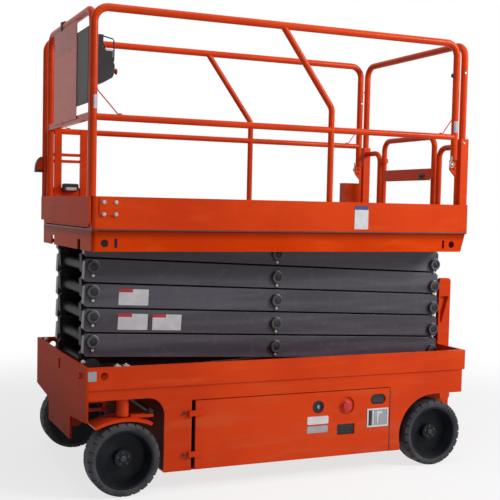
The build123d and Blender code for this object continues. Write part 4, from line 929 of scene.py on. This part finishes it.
# %% Corner plates, band label, toe board label and band brackets
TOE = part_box("toe_boards")
TOE_FACE = TOE[1].y - 0.005
CORNERS = ((-0.031, -0.030), (-0.031, 0.030), (0.031, -0.030), (0.031, 0.030))
for name, side in SIDES:
    plate_x = TOE[1].x - 0.062
    plate_z = TOE[1].z - 0.059
    bolts = [((plate_x + dx, side * TOE[1].y, plate_z + dz), (0, side, 0)) for dx, dz in CORNERS]
    bolted("corner_bolts_" + name, "platform", bolts, 0.016, ZINC)

place = facing((BAND[1].x - 0.018, BAND[1].y + SKIN, 0.627), LEFT)
label("band_label", "chassis", place, 0.044, 0.050, GREY_FILM)
place = facing((MIDDLE_X - 0.421, TOE_FACE + SKIN, 1.438), LEFT)
banded_label("toe_label", "platform", place, 0.088, 0.130, 0.022, BLUE_FILM)
mesh = bmesh.new()
front_x = FRONT_PLATE[0].x
for y in (0.425, -0.425):
    add_box(mesh, (front_x - 0.018, y - 0.012, 0.672), (front_x - 0.0005, y + 0.012, 0.682))
    add_bolt(mesh, (front_x - 0.009, y, 0.682), UP, 0.011)
for x in (0.955, 1.000):
    add_box(mesh, (x, BAND[1].y - 0.040, 0.668), (x + 0.030, BAND[1].y - 0.0085, 0.676))
    add_bolt(mesh, (x + 0.015, BAND[1].y - 0.024, 0.676), UP, 0.012)
piece("band_brackets", mesh, ZINC, "chassis", 0.0006)
print("bolts and labels placed")

# %% [markdown]
# ## Deck fittings
# The roll-out deck carries the panel, the control box and a short frame of flat posts on its right.
# The box has a moulded cover with a white strip, a wire guard over its shelf, a row of keys on its
# rear face, and a red stop knob. The top tube has a black clip, and the short frame a cable box.

# %% Control box details
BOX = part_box("control_box")
BOX_WIDTH = 0.186
PLATE_BELOW = 0.105
BOX_Y = (BOX[1].y - BOX_WIDTH, BOX[1].y)
BOX_MIDDLE = sum(BOX_Y) / 2
BOX_LOW = BOX[0].z + PLATE_BELOW
REAR_FACE_X = BOX[1].x - 0.1395
KEY_PITCH = 0.032

COVER = (
    # x behind the box's front, z above its foot: a moulded cover over the shelf and the rear face
    (0.0785, 0.1725),
    (0.1300, 0.1690),
    (0.1285, 0.1210),
    (0.1395, 0.0910),
    (0.1395, 0.0660),
    (0.1335, 0.0380),
    (0.1160, 0.0380),
    (0.1160, 0.1330),
    (0.0785, 0.1670),
)
mesh = bmesh.new()
place = facing((BOX[1].x, BOX_Y[1] - 0.001, BOX_LOW), (0, -1, 0))
add_plate(mesh, [(-back, up) for back, up in reversed(COVER)], 0.184, place)
piece("control_cover", mesh, BLACK_PLASTIC, "deck", 0.0015)
spot = (BOX[1].x - 0.104, BOX_Y[1] - 0.0007, BOX_LOW + 0.1650)
label("control_strip", "deck", facing(spot, LEFT), 0.047, 0.0090, WHITE_FILM, 0.001)
mesh = bmesh.new()
face = facing((REAR_FACE_X, BOX_MIDDLE - 0.012, BOX_LOW + 0.0785), REAR)
for column in range(4):
    spot = face @ Matrix.Translation((KEY_PITCH * (column - 1.5), 0, 0))
    add_plate(mesh, rounded_outline(0.020, 0.018, 0.004), 0.003, spot)
boot = facing((BOX[1].x - 0.104, BOX_MIDDLE, BOX_LOW + 0.1705), UP)
add_lathe(mesh, [(0.0, 0.0), (0.018, 0.0), (0.016, 0.005), (0.011, 0.010), (0.0, 0.012)], boot, 24)
piece("control_face", mesh, BLACK_PLASTIC, "deck", 0.0006)

knob = facing((REAR_FACE_X, BOX[1].y - 0.022, BOX_LOW + 0.062), REAR)
stem = [(0.0, 0.0), (0.009, 0.0), (0.009, 0.006), (0.015, 0.009)]
head = [(0.016, 0.015), (0.011, 0.018), (0.0, 0.019)]
turned("control_stop_knob", "deck", stem + head, knob, 28, RED_PLASTIC)

# wire guard over the shelf, as x behind the box's front and z above its foot
GUARD = ((0.0770, 0.233), (0.1290, 0.222), (0.1345, 0.212), (0.1355, 0.168), (0.1340, 0.110))
mesh = bmesh.new()
for y in (BOX_Y[0] + 0.010, BOX_Y[1] - 0.006):
    add_tube(mesh, [(BOX[1].x - back, y, BOX_LOW + up) for back, up in GUARD], 0.0036, 10)
piece("control_guard", mesh, BLACK_PAINT, "deck", 0.0)
print("control box dressed")

# %% Clip and cable box on the deck
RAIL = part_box("deck_rail")
CLIP = Vector((RAIL[1].x, -0.126, RAIL[1].z))
mesh = bmesh.new()
add_box(mesh, CLIP - Vector((0.044, 0.014, 0.046)), CLIP + Vector((0.004, 0.014, 0.005)))
add_box(mesh, CLIP - Vector((0.036, 0.020, 0.012)), CLIP + Vector((-0.008, 0.020, 0.009)))
piece("rail_clip", mesh, BLACK_PLASTIC, "deck", 0.003)

# cable box on the kick plate of the short frame, behind the right post
mesh = bmesh.new()
junction = Vector((RAIL[0].x + 0.060, RAIL[0].y + 0.0245, 1.556))
add_box(mesh, junction, junction + Vector((0.092, 0.044, 0.042)))
piece("deck_junction", mesh, BLACK_PAINT, "deck", 0.003)
mesh = bmesh.new()
add_box(mesh, junction + Vector((0.014, 0.0443, 0.004)), junction + Vector((0.078, 0.0475, 0.022)))
add_box(mesh, junction + Vector((0.006, 0.006, 0.0423)), junction + Vector((0.086, 0.038, 0.0455)))
for dx in (0.024, 0.068):
    add_bolt(mesh, junction + Vector((dx, 0.0475, 0.013)), LEFT, 0.008)
piece("deck_junction_lid", mesh, ZINC, "deck", 0.001)
print("deck fittings made")

# %% [markdown]
# ## Folding joints of the side rails
# Each side rail stands in a bracket at the rear and folds down when its pin is drawn. Lynch pins hold
# the feet, thin wire braces run from the end posts to the mid rail, bare silver labels are wrapped
# round the posts, and a black knob sits high on the rear post.

# %% Rail pins, braces and post labels
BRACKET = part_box("rail_brackets")
RAIL_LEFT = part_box("side_rail_left")
TUBE_R = 0.020
RAIL_Y = RAIL_LEFT[1].y - 0.0085 - TUBE_R
MID_Z = 1.914
MID_R = 0.017
FOOT_Z = BRACKET[1].z
BRACKET_HALF_T = 0.0065
BRACKET_BOLTS = (-0.020, -0.048)
KNOB_Z = 2.268
STOP_BOLT_Z = 2.201
POST_X = (RAIL_LEFT[0].x + TUBE_R, RAIL_LEFT[1].x - TUBE_R)
BRACES = (
    # post, toward the middle, height of the upper end above the mid rail, reach along the rail
    (POST_X[0], 1, 0.106, 0.082),
    (POST_X[1], -1, 0.135, 0.125),
)
POST_LABELS = (
    # post, height of its middle, height, angles between which it is wrapped
    (POST_X[0], 1.972, 0.066, 38, 145),
    (POST_X[1], 1.986, 0.068, 80, 168),
)
for name, side in SIDES:
    bolts = []
    for dz in BRACKET_BOLTS:
        for face in (side, -side):
            spot = (POST_X[0], side * RAIL_Y + face * BRACKET_HALF_T, FOOT_Z + dz)
            bolts.append((spot, (0, face, 0)))
    bolted("bracket_bolts_" + name, "platform", bolts, 0.013, ENAMEL)

    mesh = bmesh.new()
    centre = Vector((POST_X[0] + 0.021, side * (RAIL_Y + 0.0105), FOOT_Z - 0.025))
    pin = facing(centre - Vector((0, side * 0.004, 0)), (0, side, 0))
    head = [(0.0, 0.0), (0.009, 0.0), (0.009, 0.008), (0.005, 0.011), (0.0, 0.012)]
    add_lathe(mesh, head, pin, 20)
    turns = [math.radians(24 * step) for step in range(15)]
    loop = [centre + Vector((0.013 * math.sin(a), 0, 0.018 * math.cos(a))) for a in turns]
    add_tube(mesh, loop, 0.0026, 8)
    stem = centre + Vector((0.002, 0, 0.016))
    add_tube(mesh, [stem, stem + Vector((0, side * 0.004, 0.030))], 0.0045, 10)
    piece("lynch_pin_" + name, mesh, ZINC, "platform", 0.0003)

    mesh = bmesh.new()
    for post, inward, rise, reach in BRACES:
        upper = Vector((post + inward * (TUBE_R - 0.002), side * RAIL_Y, MID_Z + rise))
        lower = Vector((post + inward * reach, side * RAIL_Y, MID_Z + MID_R + 0.003))
        add_tube(mesh, [upper, lower, lower + Vector((inward * 0.022, 0, 0))], 0.0032, 10)
        eye = facing(upper - Vector((inward * 0.002, 0, 0)), (inward, 0, 0))
        add_lathe(mesh, [(0.0, 0.0), (0.007, 0.0), (0.007, 0.005), (0.0, 0.007)], eye, 14)
    piece("wire_braces_" + name, mesh, ENAMEL, "platform", 0.0)

    mesh = bmesh.new()
    for post, z, height, start, end in POST_LABELS:
        start, end = (start, end) if side > 0 else (-end, -start)
        add_wrap(mesh, (post, side * RAIL_Y, z), TUBE_R + 0.0002, height, start, end)
    piece("post_labels_" + name, mesh, SILVER_FILM, "platform", 0.0, False)

knob = facing((POST_X[0] + TUBE_R - 0.001, RAIL_Y, KNOB_Z), FRONT)
grip = [(0.0, 0.0), (0.006, 0.0), (0.006, 0.004), (0.012, 0.006), (0.012, 0.011), (0.0, 0.014)]
turned("post_knob", "platform", grip, knob, 20, BLACK_PLASTIC, 0.0005)
spot = (POST_X[0], -RAIL_Y + TUBE_R - 0.0005, STOP_BOLT_Z)
bolted("post_bolt", "platform", [(spot, LEFT)], 0.011, ZINC, 0.0003)
print("rail pins, braces and labels made")

# %% [markdown]
# ## Horn cap on the far front post
# A quarter-round cap with a black rim sits on the front of the right front post. Its outline is a
# quarter of an ellipse, and the rim follows the same arc a little further out.

# %% Quarter-round cap
CAP_X = RAIL_LEFT[1].x + 0.0006
CAP_Z = 1.678
CAP_REACH = 0.038
CAP_RISE = 0.076
CAP_WIDTH = 0.038
RIM_T = 0.0042
RIM_LAP = 0.003


def quarter(grow):
    """Points of a quarter ellipse, grown outward, from its front end up to the post."""
    turns = [math.radians(90 * step / 12) for step in range(13)]
    return [((CAP_REACH + grow) * math.cos(a), (CAP_RISE + grow) * math.sin(a)) for a in turns]


mesh = bmesh.new()
cap = facing((CAP_X, -RAIL_Y - 0.019, CAP_Z), (0, -1, 0))
cap = cap @ Matrix.Translation((0, 0, -CAP_WIDTH))
add_plate(mesh, quarter(0.0) + [(0.0, 0.0)], CAP_WIDTH, cap)
piece("horn_cap", mesh, ENAMEL, "platform", 0.002)
mesh = bmesh.new()
rim = quarter(RIM_T) + quarter(SKIN)[::-1]
add_plate(mesh, rim, CAP_WIDTH + 2 * RIM_LAP, cap @ Matrix.Translation((0, 0, -RIM_LAP)))
add_box(mesh, (0.0, -0.0125, -RIM_LAP), (CAP_REACH + RIM_T, -SKIN, CAP_WIDTH + RIM_LAP), cap)
piece("horn_rim", mesh, BLACK_PLASTIC, "platform", 0.001)
print("cap made")

# %% [markdown]
# ## Gate
# A channel plate lies over the gate's bar, with a dark latch on it and, at its end, a tongue over
# the gate's post. The hoop's posts have two bolts each where the side rails meet them.

# %% Channel plate, latch and hoop bolts
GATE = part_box("gate")
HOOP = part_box("rear_hoop")
GATE_X = HOOP[0].x + 0.034
BAR_X = GATE_X + 0.008
BAR_Z = 1.707
PLATE_T = 0.004
GATE_TUBE_R = 0.017
CHANNEL_UP = 0.036
CHANNEL_BACK = 0.016
low_y = GATE[0].y + 2 * GATE_TUBE_R
high_y = GATE[1].y - 2 * GATE_TUBE_R
back_x = BAR_X + 0.0002

mesh = bmesh.new()
add_box(mesh, (back_x, low_y, BAR_Z - CHANNEL_UP), (BAR_X + PLATE_T, high_y, BAR_Z + CHANNEL_UP))
for z in (BAR_Z - CHANNEL_UP, BAR_Z + CHANNEL_UP - PLATE_T):
    add_box(mesh, (BAR_X - CHANNEL_BACK, low_y, z), (back_x, high_y, z + PLATE_T))
tongue = BAR_X + GATE_TUBE_R - 0.0075
low = (tongue, high_y + 0.002, BAR_Z - 0.030)
add_box(mesh, low, (tongue + PLATE_T, GATE[1].y + 0.018, BAR_Z + 0.030))
piece("gate_channel", mesh, ENAMEL, "gate", 0.001)
mesh = bmesh.new()
latch = facing((BAR_X + PLATE_T + 0.0002, GATE[1].y - 0.115, BAR_Z - 0.010), FRONT)
add_plate(mesh, rounded_outline(0.060, 0.032, 0.006), 0.005, latch)
add_lathe(mesh, [(0.0, 0.005), (0.010, 0.005), (0.010, 0.014), (0.007, 0.018), (0.0, 0.018)], latch, 20)
piece("gate_latch", mesh, LATCH_PAINT, "gate", 0.001)
HOOP_BOLTS = ((2.285, RAIL_Y + TUBE_R), (1.880, HOOP[1].y))  # height and face of each pair
bolts = [((GATE_X, side * y, z), (0, side, 0)) for z, y in HOOP_BOLTS for _, side in SIDES]
bolted("hoop_bolts", "platform", bolts, 0.011, ZINC, 0.0003)
print("gate dressed")

# %% [markdown]
# ## Tread of the floors
# The platform's plate and the roll-out deck are pressed with rows of small lozenges, turned left and
# right in turn. Each is a low bar with sloped sides, and one mesh holds all those of a plate.

# %% Lozenges
TREAD_PITCH = 0.036
LOZENGE = (
    # half length, half width and height of its foot and of its top
    (0.0120, 0.0034, 0.0),
    (0.0080, 0.0017, 0.0013),
)


def add_lozenge(mesh, centre, turn):
    """Low bar with sloped sides, pointed at both ends."""
    place = Matrix.Translation(centre) @ Matrix.Rotation(turn, 4, "Z")
    rings = []
    for half_length, half_width, z in LOZENGE:
        points = [(-half_length, 0, z), (0, -half_width, z), (half_length, 0, z), (0, half_width, z)]
        rings.append(add_points(mesh, points, place))
    mesh.faces.new(rings[1])
    join_rings(mesh, rings)


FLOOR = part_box("platform_floor")
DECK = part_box("deck_floor")
FLOORS = (
    # name, body, finish, x from, x to, half width, z
    ("platform", "platform", FLOOR_STEEL, FLOOR[0].x + 0.070, DECK[0].x - 0.010, 0.455, FLOOR[1].z),
    ("deck", "deck", DECK_ENAMEL, DECK[0].x + 0.020, DECK[1].x - 0.070, 0.425, FLOOR[1].z + 0.012),
)
for name, body, finish, x0, x1, half, z in FLOORS:
    mesh = bmesh.new()
    rows = int((x1 - x0) / TREAD_PITCH)
    columns = int(2 * half / TREAD_PITCH)
    for i in range(rows):
        for j in range(columns + 1):
            turn = math.radians(45 if (i + j) % 2 else -45)
            x = x0 + TREAD_PITCH * (i + 0.5)
            y = -half + TREAD_PITCH * j
            add_lozenge(mesh, (x, y, z + 0.0001), turn)
    piece("floor_tread_" + name, mesh, finish, body, 0.0, False)
print("tread on", len(FLOORS), "floors")

# %% [markdown]
# ## Floor, backdrop and light
# The machine stands on a pale floor that fades into a white backdrop, so that its shadow stays and
# no horizon shows. A large soft lamp comes from the rear left, which puts the front face in shade,
# and a weaker one above fills in. The world gives an even grey light, and the camera sees it white.

# %% Floor and backdrop
FLOOR_SIZE = 14.0
FLOOR_DROP = 0.0005
FADE_FROM = 2.2
FADE_TO = 4.6
FLOOR_GLOW = 0.74
AMBIENT = (0.20, 0.205, 0.215)


def floor_finish():
    """Pale grey that takes the shadow near the machine and fades into white further out."""
    floor = Finish("studio_floor")
    away = floor.vector_math("LENGTH", floor.surface("Position"))
    floor.set(Base_Color=(0.80, 0.80, 0.80), Roughness=0.9, Specular_IOR_Level=0.1)
    white = floor.add("ShaderNodeEmission", {}, {"Color": EVEN, "Strength": 1.0})
    pale = floor.seen() * (away.between(FADE_FROM, FADE_TO) * (1.0 - FLOOR_GLOW) + FLOOR_GLOW)
    fade = floor.add("ShaderNodeMixShader", {}, {0: pale})
    floor.tree.links.new(floor.shader.outputs[0], fade.socket.node.inputs[1])
    floor.tree.links.new(white.socket, fade.socket.node.inputs[2])
    floor.tree.links.new(fade.socket, floor.tree.nodes["Material Output"].inputs[0])
    return floor.material


mesh = bmesh.new()
bmesh.ops.create_grid(mesh, x_segments=4, y_segments=4, size=FLOOR_SIZE)
studio_floor = place_object("studio_floor", mesh_data("studio_floor", mesh, floor_finish()))
studio_floor.location.z = -FLOOR_DROP
studio_floor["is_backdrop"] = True

world = bpy.data.worlds.new("studio")
bpy.context.scene.world = world
world.use_nodes = True
sky = Graph(world.node_tree)
light = sky.mix(sky.seen(), AMBIENT, EVEN)
sky.feed(sky.tree.nodes["Background"].inputs["Color"], light)
print("floor and backdrop made")

# %% Lamps
LAMPS = (
    # name, place, size, power in watts
    ("rear_left_softbox", (-4.6, 4.6, 4.2), 2.0, 370.0),
    ("top_softbox", (0.6, 1.6, 6.2), 4.0, 110.0),
)
LAMP_AIM = Vector((0, 0, 1.2))
for name, place, size, power in LAMPS:
    lamp = bpy.data.lights.new(name, "AREA")
    lamp.shape = "SQUARE"
    lamp.size = size
    lamp.energy = power
    holder = place_object(name, lamp)
    holder.location = place
    holder.rotation_euler = (LAMP_AIM - Vector(place)).to_track_quat("-Z", "Y").to_euler()
print(len(LAMPS), "lamps")

# %% [markdown]
# ## Camera
# The camera stands at the front left, a little above the middle of the machine, and looks slightly
# down. It is placed by its azimuth, elevation and roll, with a moderate lens so that the rails
# converge gently.

# %% Camera
AZIMUTH = math.radians(156.95)
ELEVATION = math.radians(3.22)
ROLL = math.radians(1.185)
STAND = Vector((MIDDLE_X + 2.348, 5.079, 1.484))

level = math.cos(ELEVATION)
back = Vector((math.sin(AZIMUTH) * level, -math.cos(AZIMUTH) * level, math.sin(ELEVATION)))
right = Vector(UP).cross(back).normalized()
upward = back.cross(right)
rolled_right = right * math.cos(ROLL) + upward * math.sin(ROLL)
rolled_up = upward * math.cos(ROLL) - right * math.sin(ROLL)
camera_data = bpy.data.cameras.new("camera")
camera_data.sensor_width = 36.0
camera_data.lens = 67.78
camera_data.shift_x = 0.0583
camera_data.shift_y = 0.0188
camera = place_object("camera", camera_data)
axes = Matrix((rolled_right, rolled_up, back)).transposed().to_4x4()
camera.matrix_world = Matrix.Translation(STAND) @ axes
bpy.context.scene.camera = camera
bpy.context.scene.view_settings.view_transform = "Standard"
print("camera at", tuple(round(v, 3) for v in STAND))

# %% Print the dressed box
low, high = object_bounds()
print("dressed box", low, high)
